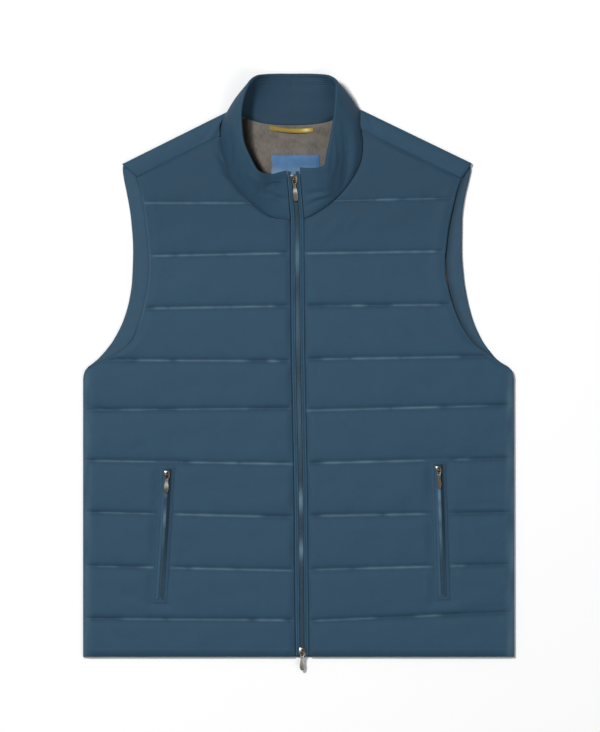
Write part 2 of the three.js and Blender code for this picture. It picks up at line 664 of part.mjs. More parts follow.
// A slider: two plates joined by a post at the nose, and a bail that holds the tab. The nose points to +Y.
function sliderGeometry({ halfLength, nose, tail, plateIn, plateOut }) {
  const corner = 1.2;
  const outline = [
    [-tail, -halfLength + corner], [-tail + corner, -halfLength], [tail - corner, -halfLength],
    [tail, -halfLength + corner], [nose, halfLength * 0.35], [nose, halfLength - corner],
    [nose - corner, halfLength], [-nose + corner, halfLength], [-nose, halfLength - corner],
    [-nose, halfLength * 0.35],
  ].map(([x, y]) => new THREE.Vector2(x, y));
  const post = [
    [0, halfLength - 3.4], [0.9, halfLength - 1.8], [0.9, halfLength - 0.3], [-0.9, halfLength - 0.3],
    [-0.9, halfLength - 1.8],
  ].map(([x, y]) => new THREE.Vector2(x, y));
  const bailOuter = [
    [-BAIL.halfLength, -0.4], [-BAIL.halfLength, BAIL.height - 1.3], [-BAIL.halfLength + 1.3, BAIL.height],
    [BAIL.halfLength - 1.3, BAIL.height], [BAIL.halfLength, BAIL.height - 1.3], [BAIL.halfLength, -0.4],
    [BAIL.halfLength - BAIL.leg, -0.4], [BAIL.halfLength - BAIL.leg, BAIL.window],
    [-BAIL.halfLength + BAIL.leg, BAIL.window], [-BAIL.halfLength + BAIL.leg, -0.4],
  ].map(([y, z]) => new THREE.Vector2(y, z));
  const bail = new THREE.ExtrudeGeometry(new THREE.Shape(bailOuter), {
    depth: 2 * BAIL.halfWidth, bevelEnabled: false,
  });
  // The shape's plane becomes the plane of the zip's length and height
  bail.translate(0, 0, -BAIL.halfWidth);
  bail.rotateX(Math.PI / 2);
  bail.rotateZ(Math.PI / 2);
  bail.translate(0, 0, plateOut);
  return fromManifold(toManifold(plate(outline, -plateOut, -plateIn))
    .add(toManifold(plate(outline, plateIn, plateOut)))
    .add(toManifold(plate(post, -plateOut + 0.2, plateOut - 0.2)))
    .add(toManifold(bail)));
}

// A pull tab that lies towards -Y from its pivot, with an eye round the bail
function tabGeometry(profile) {
  const end = profile[profile.length - 1];
  const right = profile.map(({ at, half }) => new THREE.Vector2(half, -at + TAB_EYE.bar));
  const left = profile.map(({ at, half }) => new THREE.Vector2(-half, -at + TAB_EYE.bar)).reverse();
  const eye = [
    [-TAB_EYE.opening, -TAB_EYE.bar], [TAB_EYE.opening, -TAB_EYE.bar],
    [TAB_EYE.opening, -TAB_EYE.length + 0.6], [0.8, -TAB_EYE.length], [-0.8, -TAB_EYE.length],
    [-TAB_EYE.opening, -TAB_EYE.length + 0.6],
  ].map(([x, y]) => new THREE.Vector2(x, y));
  const tip = new THREE.Vector2(0, -end.at - 0.3 + TAB_EYE.bar);
  return plate([...right, tip, ...left], -TAB_THICKNESS / 2, TAB_THICKNESS / 2, [eye]);
}

// A slider and its tab on a zip: turned in plan to the zip, tilted to its slope
function sliderSet({ names, size, profile, at, turn = 0, slope = 0, noseDown = false, droop }) {
  const holder = new THREE.Group();
  holder.position.copy(at);
  holder.rotation.set(slope, 0, turn, 'ZYX');
  const slider = piece(names.slider, sliderGeometry(size), METAL);
  if (noseDown) slider.rotation.z = Math.PI;
  const tab = piece(names.pull, tabGeometry(profile), METAL);
  tab.position.set(0, 0, size.plateOut + BAIL.pivot);
  tab.rotation.x = droop;
  holder.add(slider, tab);
  return holder;
}

function frontSliders() {
  const topY = 251;
  const bottomY = -363.7;
  const slope = Math.atan2(zipZ(257) - zipZ(245), 12);
  const lean = Math.atan2(zipX(245) - zipX(257), 12);
  return [
    sliderSet({
      names: { slider: 'front_slider_top', pull: 'front_pull_top' }, size: SLIDER.front, profile: TAB.long,
      at: new THREE.Vector3(zipX(topY), topY, zipZ(topY)), turn: lean, slope, droop: THREE.MathUtils.degToRad(3.5),
    }),
    sliderSet({
      names: { slider: 'front_slider_bottom', pull: 'front_pull_bottom' }, size: SLIDER.front,
      profile: TAB.short, at: new THREE.Vector3(zipX(bottomY), bottomY, zipZ(bottomY)), noseDown: true,
      droop: THREE.MathUtils.degToRad(9),
    }),
  ];
}

// Pockets: a welt round the opening, the zip in it, its slider at the top and the tab hanging down

function rectangle(halfWidth, bottom, top) {
  return [[-halfWidth, bottom], [halfWidth, bottom], [halfWidth, top], [-halfWidth, top]]
    .map(([x, y]) => new THREE.Vector2(x, y));
}

function pocket(side) {
  const sign = sideSign[side];
  const { top, bottom } = POCKET[side];
  const upper = new THREE.Vector2(sign * top[0], top[1]);
  const lower = new THREE.Vector2(sign * bottom[0], bottom[1]);
  const length = upper.distanceTo(lower);
  const group = new THREE.Group();
  group.position.set(lower.x, lower.y, 0);
  group.rotation.z = Math.atan2(lower.x - upper.x, upper.y - lower.y);
  const seatZ = FRONT_UNDERSIDE + POCKET_SEAT.wall + SEAM_GAP;
  const opening = [WELT.endBar, length - WELT.endBar];
  const welt = plate(rectangle(WELT.halfWidth, 0, length), seatZ, seatZ + WELT.thickness,
    [rectangle(WELT.openingHalf, ...opening)]);
  const tapeInner = POCKET_CHAIN.halfWidth + SEAM_GAP;
  const tape = plate(
    rectangle(WELT.openingHalf - SEAM_GAP, opening[0] + SEAM_GAP, opening[1] - SEAM_GAP),
    POCKET_ZIP_Z - TAPE_HALF_THICKNESS, POCKET_ZIP_Z + TAPE_HALF_THICKNESS,
    [rectangle(tapeInner, opening[0] + 3, opening[1] - 1.5)],
  );
  const chain = plate(
    rectangle(POCKET_CHAIN.halfWidth, opening[0] + 3 + SEAM_GAP, opening[1] - 7),
    POCKET_ZIP_Z - POCKET_CHAIN.halfThickness, POCKET_ZIP_Z + POCKET_CHAIN.halfThickness,
  );
  group.add(
    piece(`pocket_welt_${side}`, welt, SHELL),
    piece(`pocket_zip_tape_${side}`, tape, TAPE),
    piece(`pocket_zip_chain_${side}`, chain, CHAIN),
    sliderSet({
      names: { slider: `pocket_slider_${side}`, pull: `pocket_pull_${side}` }, size: SLIDER.pocket,
      profile: TAB.short, at: new THREE.Vector3(0, opening[1] - 6.2, POCKET_ZIP_Z),
      droop: THREE.MathUtils.degToRad(3.5),
    }),
  );
  return group;
}

// Inside the neck

function hangerLoop() {
  const { left, right, topY, sag, width, thickness, rise } = HANGER_LOOP;
  const base = BACK_THICKNESS + SEAM_GAP + LINING_THICKNESS + SEAM_GAP;
  const steps = 14;
  const grid = (lift) => heightsBetween(0, 1, steps).map((share) => {
    const x = mix(left, right, share);
    const hang = Math.sin(Math.PI * share);
    const drop = topY - sag * hang;
    const z = base + rise * hang + lift;
    return [new THREE.Vector3(x, drop, z), new THREE.Vector3(x, drop - width, z - 0.2 * hang)];
  });
  return piece('hanger_loop', wallBetween(grid(thickness), grid(0)), LOOP);
}

function neckLabel() {
  const { left, right, top, bottom, thickness } = NECK_LABEL;
  const base = BACK_THICKNESS + SEAM_GAP + LINING_THICKNESS + SEAM_GAP;
  const outline = [[left, bottom], [right, bottom], [right, top], [left, top]]
    .map(([x, y]) => new THREE.Vector2(x, y));
  return piece('neck_label', plate(outline, base, base + thickness), LABEL);
}

const vest = new THREE.Group();
vest.add(
  back(),
  backLining(),
  armholeFacing('left'),
  armholeFacing('right'),
  frontPanel('left'),
  frontPanel('right'),
  collarBand('collar_outer', SEAM_GAP / 2, SEAM_GAP / 2 + COLLAR_PLY),
  collarBand('collar_inner', -SEAM_GAP / 2, -SEAM_GAP / 2 - COLLAR_PLY),
  ...frontZip(),
  ...frontSliders(),
  pocket('left'),
  pocket('right'),
  hangerLoop(),
  neckLabel(),
);

export default vest;
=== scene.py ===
"""A quilted vest laid flat on its back: the looks of each sewn piece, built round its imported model.

Sizes are in millimetres in the garment's own frame, +X to the right of the picture, +Y towards the
collar and +Z up from the surface it lies on. They become metres where a mesh is made.
"""

import math
from contextlib import contextmanager

import bpy
import numpy as np
from mathutils import Matrix, Vector


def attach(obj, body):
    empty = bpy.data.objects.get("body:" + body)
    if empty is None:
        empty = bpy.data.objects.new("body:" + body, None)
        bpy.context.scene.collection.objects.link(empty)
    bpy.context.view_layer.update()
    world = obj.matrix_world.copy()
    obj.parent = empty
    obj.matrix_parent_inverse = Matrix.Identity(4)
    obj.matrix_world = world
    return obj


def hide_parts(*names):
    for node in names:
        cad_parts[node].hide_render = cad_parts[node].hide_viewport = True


bl_info = {
    "name": "Quilted Vest",
    "version": (1, 0, 0),
    "blender": (4, 5, 0),
    "location": "3D View > Sidebar > Vest",
    "description": "Builds a quilted zip vest, laid flat, round its packed model",
    "category": "Add Mesh",
}

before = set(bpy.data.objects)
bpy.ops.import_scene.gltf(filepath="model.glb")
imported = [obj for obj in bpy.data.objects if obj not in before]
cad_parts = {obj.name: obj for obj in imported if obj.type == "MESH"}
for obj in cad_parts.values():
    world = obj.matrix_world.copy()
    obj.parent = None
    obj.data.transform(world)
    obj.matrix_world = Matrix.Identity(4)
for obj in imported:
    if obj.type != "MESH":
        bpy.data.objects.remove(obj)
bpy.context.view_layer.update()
MM = 0.001
GARMENT = "vest"

# Which way each side lies from the middle
SIGN = {"left": -1, "right": 1}
SIDES = ("left", "right")
HEM_Y = -370.5
# From the zip's centre line to a front's edge, between sewn pieces, and between edges that touch
ZIP_GAP = 8.5
SEAM_GAP = 0.3
CLOSED_GAP = 0.05
# Height of a front's inner face, its thickness, and its thickness where a pocket's welt presses it
FRONT_UNDERSIDE = 5.6
FRONT_WALL = 2.6
POCKET_WALL = 3.4
WELT_HALF_WIDTH = 10.2
# How much lower a front lies along its side seam
SIDE_SEAM_DROP = 1.3


# Tables of sizes


class Table:
    """Rows of sizes under named columns, read as smooth curves along the first column."""

    def __init__(self, columns, rows):
        names = columns.split()
        self.key = names[0]
        self.columns = dict(zip(names, np.array(rows, float).T))

    def along(self, column, at):
        """The column's value at places along the key, on a curve that doesn't overshoot its rows."""
        keys, values = self.columns[self.key], self.columns[column]
        step = np.diff(values) / np.diff(keys)
        same_way = step[:-1] * step[1:] > 0
        total = np.where(same_way, step[:-1] + step[1:], 1)
        middle = np.where(same_way, 2 * step[:-1] * step[1:] / total, 0)
        slope = np.concatenate([step[:1], middle, step[-1:]])
        i = np.clip(np.searchsorted(keys, at, side="left") - 1, 0, len(keys) - 2)
        span = keys[i + 1] - keys[i]
        share = np.clip((at - keys[i]) / span, 0, 1)
        square, cube = share**2, share**3
        return (
            (2 * cube - 3 * square + 1) * values[i]
            + (cube - 2 * square + share) * span * slope[i]
            + (3 * square - 2 * cube) * values[i + 1]
            + (cube - square) * span * slope[i + 1]
        )


# Half widths of the whole vest at each height, from the hem to the shoulder
SIDE_EDGE = Table(
    "y left right",
    [
        (-370.5, 280.5, 280.5),
        (-10, 280.5, 280),
        (2.6, 277.6, 277),
        (15.6, 262.5, 258.5),
        (28.6, 250.6, 247.3),
        (41.6, 241, 238.2),
        (67.6, 228, 226.5),
        (93.6, 220.5, 219.5),
        (119.6, 216.8, 215),
        (158.6, 215.5, 212.2),
        (197.6, 218.1, 212.6),
        (223.6, 222, 215.5),
        (249.6, 227.2, 221.3),
        (266, 229.8, 225),
    ],
)

# The fronts' armhole edge, cut deeper than the back's
FRONT_ARMHOLE = Table(
    "y left right",
    [
        (2, 277.8, 277.5),
        (14, 256, 259.5),
        (22, 241, 249),
        (33.8, 224, 231.5),
        (48, 213.5, 219.5),
        (67.6, 206.5, 208),
        (87, 201.5, 200.5),
        (106.6, 197.5, 195),
        (125, 195.3, 191),
        (145, 194.9, 190.1),
        (165, 196.2, 192),
        (184.6, 198.2, 194.3),
        (204, 200.5, 198),
        (223.6, 203.5, 202.6),
        (236.6, 206.4, 206),
        (254, 212.5, 212.8),
    ],
)

# Heights of the hem and the nine quilting lines, at the zip edge and at the side of each front
QUILT_LINES = {
    "left": {
        "zip": np.array([-370.5, -322.5, -258, -188.5, -119.5, -47, 14.3, 86, 154.7, 219.7]),
        "side": np.array([-370.5, -320.5, -252, -182, -115, -49.5, 15.6, 82.6, 150.8, 219.7]),
    },
    "right": {
        "zip": np.array([-370.5, -323.5, -257, -187, -118.5, -50, 16.5, 85.8, 154.2, 222.5]),
        "side": np.array([-370.5, -312, -250, -182.5, -112, -43, 20.5, 87.5, 157, 226]),
    },
}
PANEL_TOP = {"left": 306, "right": 313.2}
QUILT_LINE_COUNT = 9
STITCHED_LINES = range(1, QUILT_LINE_COUNT + 1)

# Where each quilting line, counted from the hem, carries a painted highlight along its seam: distances
# out from the middle where that starts and ends, and how strongly
GLEAM = {
    "left": {
        1: [(18, 57, 0.9), (63, 170, 0.6), (174, 232, 0.6)],
        2: [(11, 141, 0.8), (143, 170, 0.5), (187, 209, 0.6), (236, 261, 0.5)],
        3: [(48, 160, 0.9), (193, 258, 0.4)],
        4: [(9, 76, 1), (78, 143, 0.8), (187, 265, 0.6)],
        5: [(63, 161, 0.45), (183, 235, 0.55)],
        6: [(27, 40, 1), (66, 160, 0.75), (167, 210, 0.9)],
        7: [(31, 170, 0.85), (170, 189, 1)],
        8: [(24, 96, 1), (96, 161, 0.7), (161, 191, 0.8)],
        9: [(70, 202, 0.65)],
    },
    "right": {
        1: [(21, 99, 0.6), (151, 184, 0.7)],
        2: [(21, 67, 0.6), (73, 171, 0.9), (197, 216, 0.8)],
        3: [(28, 106, 0.75), (112, 164, 0.85)],
        4: [(28, 162, 0.9), (203, 223, 0.5)],
        5: [(8, 119, 0.7), (119, 184, 1), (190, 245, 0.6)],
        6: [(30, 67, 0.6), (67, 132, 1), (132, 210, 0.75)],
        7: [(34, 67, 0.3), (67, 87, 0.9), (121, 184, 0.7)],
        8: [(8, 178, 0.9)],
        9: [(28, 99, 0.25), (99, 132, 0.7), (138, 178, 0.5)],
    },
}

# The centre line of the front zip, from the hem up the collar
ZIP_LINE = Table(
    "y x z",
    [
        (-368, 4.4, 8.1),
        (-300, 3.7, 8.1),
        (-165, 2.6, 8.1),
        (-60, 0.8, 8.1),
        (60, -1.3, 8.1),
        (150, -1.8, 8.1),
        (185, -1.9, 8.3),
        (199, -2.1, 9),
        (215, -3.4, 12),
        (240, -5.4, 16.8),
        (262, -7.2, 21.1),
    ],
)

# The collar's seam and top edge, from the zip on the left round the back to the zip on the right:
# the seam's point, the top edge's point, and how far the band swells outwards between them
COLLAR = np.array(
    [
        (-11, 197.8, 8.9, -16.1, 261.5, 21, 0),
        (-24, 199.2, 8.9, -25, 259.2, 24.5, 0.5),
        (-37.4, 202.8, 8.9, -36.7, 256.6, 31, 1),
        (-59.5, 217.6, 8.8, -52.6, 261.3, 43, 2),
        (-75.7, 233, 8.8, -63.4, 280.2, 46, 2.5),
        (-89, 252.2, 9, -70.6, 297.7, 47, 2.5),
        (-95.2, 274.3, 9.4, -73.4, 317.3, 47.5, 2.5),
        (-100, 297.7, 9.8, -73.8, 338.7, 48, 2.5),
        (-99.4, 321.5, 9.4, -69.9, 357.9, 47, 2),
        (-88.5, 339.6, 7.2, -62.4, 376.4, 40, 1.5),
        (-72.5, 331.5, 4.9, -54, 384.4, 27, 1),
        (-53, 325, 3.8, -43, 387, 13, 0.5),
        (-32.2, 321.8, 3.3, -27, 388, 6.5, 0),
        (-9.4, 321, 3.1, -9.4, 388, 5, 0),
        (13.3, 321.8, 3.3, 10.7, 388, 6.5, 0),
        (35.4, 325, 3.8, 29.4, 387, 13, 0.5),
        (57.5, 332, 4.9, 40, 384.2, 26, 1),
        (76.5, 341, 7.2, 47.8, 376.4, 39, 1.5),
        (78.8, 319.2, 9.4, 47.6, 358.8, 44, 2),
        (81.7, 296.8, 9.8, 46, 340.1, 42, 2.5),
        (79.9, 274.3, 9.4, 43.9, 321.6, 40, 2.5),
        (70.4, 254.2, 9, 40.9, 303.4, 39.5, 2.5),
        (57, 235.3, 8.8, 36.8, 284.5, 40, 2.5),
        (39.3, 218.5, 8.8, 33, 268.5, 37, 2),
        (19.8, 205.4, 8.9, 21.1, 264.8, 28, 1),
        (6.9, 199.2, 8.9, 1.5, 265.5, 21.4, 0),
    ],
    float,
)
COLLAR_END = len(COLLAR) - 1
SHOULDER_STATION = {"left": 9, "right": 17}
CENTRE_BACK_STATION = 13

# The shoulder folds, and the strip of the back that wraps over each to the front
SHOULDER_LINE = {
    "left": {"start": np.array([-88, 341]), "end": np.array([-219.4, 275.6])},
    "right": {"start": np.array([78, 342.5]), "end": np.array([216.5, 275.6])},
}
SHOULDER_STRIP = 23.5
FACING_WIDTH = {"left": 24, "right": 21.5}
# The strip's two ends along the fold, at depths in from it
STRIP_ARM_END = Table(
    "depth left right",
    [(0, 158.5, 163.5), (6, 156.5, 163), (12, 154, 162), (24, 149, 160)],
)
STRIP_NECK_END = Table(
    "depth left right",
    [(0, 5.5, 3.5), (6, 16, 6.5), (12, 24, 9.5), (24, 29.2, 14.5)],
)
# The strip's outer and inner faces: depth in from the fold, and height
STRIP_OUTER = np.array(
    [
        (9, 0.06),
        (3, 0.06),
        (0.9, 1.2),
        (0, 4.4),
        (0.9, 7.4),
        (3.4, 9.2),
        (10, 10.2),
        (17, 9.8),
        (21, 9.2),
        (23.5, 8.4),
    ]
)
STRIP_INNER = np.array(
    [(9, 3), (6, 3), (4.2, 3.4), (4.3, 4.4), (5, 5.4), (10, 6), (17, 6), (22, 6), (23.5, 6)]
)

POCKET = {
    "left": {"top": np.array([170.6, -122]), "bottom": np.array([181, -301])},
    "right": {"top": np.array([181.4, -116]), "bottom": np.array([187.2, -297])},
}

# Soft creases and ridges in the cloth, as it lies: where each starts and ends, how wide it is, and how
# high it stands, with troughs below zero
CREASES = [
    (-111.5, 288.6, -90.7, 253.5, 3.5, -1.3),
    (-99.8, 301.6, -92, 273, 3, -0.9),
    (-102.4, 261.3, -86.8, 252.2, 3.5, -1.1),
    (-121, 300, -103, 262, 5, 0.6),
    (-229.8, 35.1, -223.3, 14.3, 3, -0.9),
    (-244, 27.3, -235, 11.7, 3, -0.9),
    (-259.7, 15.6, -249.3, 2.6, 2.5, -0.8),
    (-212.9, 19.5, -264.9, 5.2, 5, -1),
    (-284, -42.9, -250.6, -50.7, 3, -1),
    (-258.4, -75.4, -257, -100, 5, 0.8),
    (-222, -104, -198.6, -93.6, 5, -0.6),
    (-23, 37.7, -14, 27.3, 3, -0.6),
    (-21.8, -85.8, -10, -97.5, 3, -0.6),
    (-264.9, -283.4, -186.9, -304.2, 7, -0.8),
    (30.2, 167.7, 64, 200.2, 4, 0.6),
    (60, 180.7, 82.2, 208, 4, 0.6),
    (8, 189.8, 25, 205.4, 3.5, -0.6),
    (22, 176, 52, 205, 4, -0.5),
    (69, 72.8, 87.4, 70.2, 2.5, -0.8),
    (136.8, 79.3, 160.2, 78, 2.5, -0.6),
    (113.4, 81.9, 126.4, 79.3, 2.5, -0.6),
    (183.6, -105.3, 194, -97.5, 2.2, -1.1),
    (217.4, -171.6, 217.4, -188.5, 2, -0.6),
    (261.6, -286, 278.5, -266.5, 5, 0.8),
    (265.5, -228.8, 277, -221, 3, -0.7),
    (164, -300, 222.6, -296, 7, -0.7),
    (233, -85.8, 259, -59.8, 6, 0.6),
    (196, -318, 280, -306, 5, -1),
    (210, -108, 262, -108, 4, -0.7),
    (212, -174, 280, -176, 4, -0.8),
    (228, -246, 280, -248, 4, -0.6),
    (-60, 190, -28, 178, 5, 0.5),
    (-76, 196, -40, 172, 6, -0.4),
]
# The same on the collar, seen from above
COLLAR_CREASES = [
    (-45.2, 239.2, -20, 244.4, 2.6, -1.2),
    (-47.8, 232.7, -16.6, 222.3, 2.6, -1.1),
    (-40, 226, -14, 232, 3.5, 0.7),
    (8, 230, 35.4, 234, 2.6, -1),
    (8, 214.5, 42, 227.5, 2.6, -1),
    (10, 222, 38, 229, 3, 0.6),
    (57.5, 321, 55, 234, 4, -1.5),
    (68, 330, 66.6, 247, 4.5, 1),
    (44.5, 301.6, 42, 252, 3, 0.8),
    (-81.6, 330, -79, 275.6, 4.5, 0.9),
    (-90, 318, -88, 262, 3.5, -0.8),
    (-72, 262, -46, 240, 4.5, 0.7),
]
# Folds in the lining that the neck shows
LINING_CREASES = [
    (-58, 318, -20, 292, 6, 1),
    (-48, 300, -6, 296, 4.5, -0.9),
    (-52, 285, -34, 262, 5, 0.9),
    (-12, 304, 28, 288, 6, 1.1),
    (18, 314, 44, 305, 3, -1.2),
    (24, 322, 46, 312, 3.5, 0.9),
    (8, 298, 40, 284, 4, -1),
    (30, 300, 36, 262, 5, 0.9),
    (-30, 312, 10, 306, 3.5, -0.7),
    (200, 150, 190, 90, 4, 0.6),
]
# The same on the shoulder strips
STRIP_CREASES = [
    (-92, 336, -108, 306, 3.5, -0.9),
    (-101, 334, -116, 304, 4, 0.8),
    (-108, 330, -126, 300, 3, -0.6),
    (88, 336, 96, 318, 3, -0.7),
    (130, 318, 150, 300, 4, -0.5),
    (-170, 300, -190, 286, 5, 0.5),
]

# How strong the painted highlight is where the fronts' sides roll over, and along their armhole edges
SIDE_SHINE = {"left": 0.22, "right": 0.34}
ARMHOLE_SHINE = {"left": 0.3, "right": 0.1}
# How far the fronts' armhole edges stand up off the facings
ARMHOLE_LIFT = {"left": 0.4, "right": 2.6}


# Reading the garment's lines


def mix(a, b, share):
    """The value a share of the way from a to b."""
    return a + (b - a) * share


def ease_step(edge0, edge1, value):
    """Zero below edge0, one above edge1, and smooth between."""
    share = np.clip((value - edge0) / (edge1 - edge0), 0, 1)
    return share * share * (3 - 2 * share)


def plateau(start, full, fading, end, value):
    """One from full to fading, zero outside start and end, and smooth between."""
    return ease_step(start, full, value) * (1 - ease_step(fading, end, value))


def hump(distance, width):
    """One at no distance, and falling smoothly to zero past the width."""
    return np.exp(-((distance / width) ** 2))


def edge_roll(distance, radius, least=0.3):
    """The share of its thickness that a rolled edge has at a distance in from it."""
    t = np.clip(distance / radius, 0, 1)
    return mix(least, 1, np.sqrt(1 - (1 - t) ** 2))


def waves(x, y, length, seed, count=7):
    """Soft unevenness from about -1 to 1, in waves of about that length."""
    random = np.random.default_rng(seed)
    total = 0
    for _ in range(count):
        angle, phase = random.uniform(0, 2 * np.pi, 2)
        turn = 2 * np.pi / (length * random.uniform(0.7, 1.6))
        total = total + np.sin(turn * (x * np.cos(angle) + y * np.sin(angle)) + phase)
    return total / count**0.5 * 0.8


def creases(x, y, lines):
    """How high the hand-placed creases lift the cloth at points in plan."""
    lift = np.zeros(np.broadcast(x, y).shape)
    for x0, y0, x1, y1, width, height in lines:
        run = np.array([x1 - x0, y1 - y0])
        length = np.hypot(*run)
        run = run / length
        at = (x - x0) * run[0] + (y - y0) * run[1]
        off = (y - y0) * run[0] - (x - x0) * run[1]
        bend = 0.06 * length * np.sin(np.pi * np.clip(at / length, 0, 1))
        lift = lift + height * plateau(-0.15, 0.35, 0.65, 1.15, at / length) * hump(off - bend, width)
    return lift


def points_at(x, y, z):
    """Points from their sizes along each axis, at as many places as these need."""
    return np.stack(np.broadcast_arrays(x, y, z), -1)


def unit(vectors):
    """Vectors at length one."""
    return vectors / np.maximum(np.linalg.norm(vectors, axis=-1, keepdims=True), 1e-9)


def path_lengths(path):
    """The distance along a line of points at each of them."""
    return np.concatenate([[0], np.cumsum(np.linalg.norm(np.diff(path, axis=0), axis=1))])


def read_along(at, lengths, rows):
    """Rows of values read at distances along a line."""
    return np.stack([np.interp(at, lengths, column) for column in rows.T], 1)


def collar_at(u):
    """The collar's row of sizes at stations u, on a smooth curve."""
    u = np.asarray(u, float)
    i = np.clip(np.floor(u).astype(int), 0, COLLAR_END - 1)
    share = (u - i)[..., None]
    p0, p1, p2, p3 = (COLLAR[np.clip(i + d, 0, COLLAR_END)] for d in (-1, 0, 1, 2))
    return 0.5 * (
        2 * p1
        + (p2 - p0) * share
        + (2 * p0 - 5 * p1 + 4 * p2 - p3) * share**2
        + (3 * p1 - p0 - 3 * p2 + p3) * share**3
    )


def collar_run(u, reach):
    """How the collar's row changes from a reach before stations u to a reach after them."""
    return collar_at(np.minimum(u + reach, COLLAR_END)) - collar_at(np.maximum(u - reach, 0))


def seam_outwards(start, end, clearance, steps_per_station=3):
    """The collar's seam in plan between two stations, moved outwards from the neck."""
    u = np.linspace(start, end, round(abs(end - start) * steps_per_station) + 1)
    run = unit(collar_run(u, 0.2)[:, :2])
    return collar_at(u)[:, :2] + clearance * np.stack([-run[:, 1], run[:, 0]], 1)


FRONT_NECK_CLEARANCE = -0.7
FRONT_NECK = {
    "left": seam_outwards(0, SHOULDER_STATION["left"], FRONT_NECK_CLEARANCE, 8),
    "right": seam_outwards(COLLAR_END, SHOULDER_STATION["right"], FRONT_NECK_CLEARANCE, 8),
}


def front_inner(side, y):
    """Distance out from the middle to a front's inner edge: the zip, then the collar seam."""
    neck = FRONT_NECK[side]
    zip_edge = SIGN[side] * ZIP_LINE.along("x", y) + ZIP_GAP + 3 * (1 - ease_step(-1, 4, y - HEM_Y))
    heights = np.maximum.accumulate(neck[:, 1])
    on_neck = SIGN[side] * np.interp(y, heights, neck[:, 0])
    return np.where(y <= heights[0], zip_edge, np.maximum(on_neck, zip_edge))


def shoulder_point(side, along_fold, depth):
    """Points in plan at distances along a shoulder fold and in from it."""
    start, end = SHOULDER_LINE[side]["start"], SHOULDER_LINE[side]["end"]
    run = unit(end - start)
    inwards = np.array([run[1], -run[0]]) * SIGN[side]
    along_fold, depth = np.broadcast_arrays(np.asarray(along_fold, float), depth)
    return start + run * along_fold[..., None] + inwards * depth[..., None]


def front_outer(side, y):
    """Distance out to a front's outer edge: side seam, armhole, then the shoulder strip's seam."""
    run = SHOULDER_LINE[side]["end"] - SHOULDER_LINE[side]["start"]
    seam = shoulder_point(side, 0.0, SHOULDER_STRIP + CLOSED_GAP)
    on_seam = SIGN[side] * (seam[0] + (y - seam[1]) / run[1] * run[0])
    above = np.minimum(FRONT_ARMHOLE.along(side, y), on_seam)
    return np.where(y < 2, SIDE_EDGE.along(side, y), above)


def front_share(side, out, y):
    """The share of a front's width that a distance out from the middle is."""
    inner, outer = front_inner(side, y), front_outer(side, y)
    return np.clip((out - inner) / (outer - inner), 0, 1)


def quilt_heights(side, share):
    """Heights of the hem, the lines and the panel's top, one row each, at shares of the width."""
    lines = QUILT_LINES[side]
    share = np.asarray(share, float)
    lift = (lines["side"] - lines["zip"]).reshape((-1,) + (1,) * share.ndim)
    heights = lines["zip"].reshape(lift.shape) + lift * share
    return np.concatenate([heights, np.full((1,) + share.shape, PANEL_TOP[side], float)])


def line_gleam(side, line, out):
    """How strong the painted highlight on a quilting line is at distances out from the middle."""
    shine = np.zeros(np.shape(out))
    for start, end, strength in GLEAM[side][line]:
        shine = np.maximum(shine, strength * plateau(start - 5, start + 7, end - 7, end + 5, out))
    return shine * (0.8 + 0.2 * waves(out, 0, 26, 7 + line))


def at_armhole(y):
    """One beside an armhole and zero away from it."""
    return plateau(30, 80, 215, 255, y)


def pocket_axis(side, y):
    """Distance out from the middle to the line of a pocket's zip."""
    top, bottom = POCKET[side]["top"], POCKET[side]["bottom"]
    return mix(bottom[0], top[0], (np.minimum(y, 0) - bottom[1]) / (top[1] - bottom[1]))


def pocket_seat(side, out, y, near, far):
    """One on the pressed place under a pocket's welt, and zero from so far beside it."""
    top, bottom = POCKET[side]["top"], POCKET[side]["bottom"]
    length = np.linalg.norm(top - bottom)
    axis = (top - bottom) / length
    at = (out - bottom[0]) * axis[0] + (y - bottom[1]) * axis[1]
    across = np.abs((out - bottom[0]) * axis[1] - (y - bottom[1]) * axis[0])
    within = plateau(-far, -near, length + near, length + far, at)
    return within * (1 - ease_step(WELT_HALF_WIDTH + near, WELT_HALF_WIDTH + far, across))


def front_underside(side, out, y):
    """Height of a front's plain inner face, a little lower along the side seam."""
    from_side = front_outer(side, y) - out
    drop = SIDE_SEAM_DROP * (1 - ease_step(0, 9, from_side)) * (1 - ease_step(-18, 0, y))
    return FRONT_UNDERSIDE + ARMHOLE_LIFT[side] * at_armhole(y) * (1 - ease_step(2, 26, from_side)) - drop


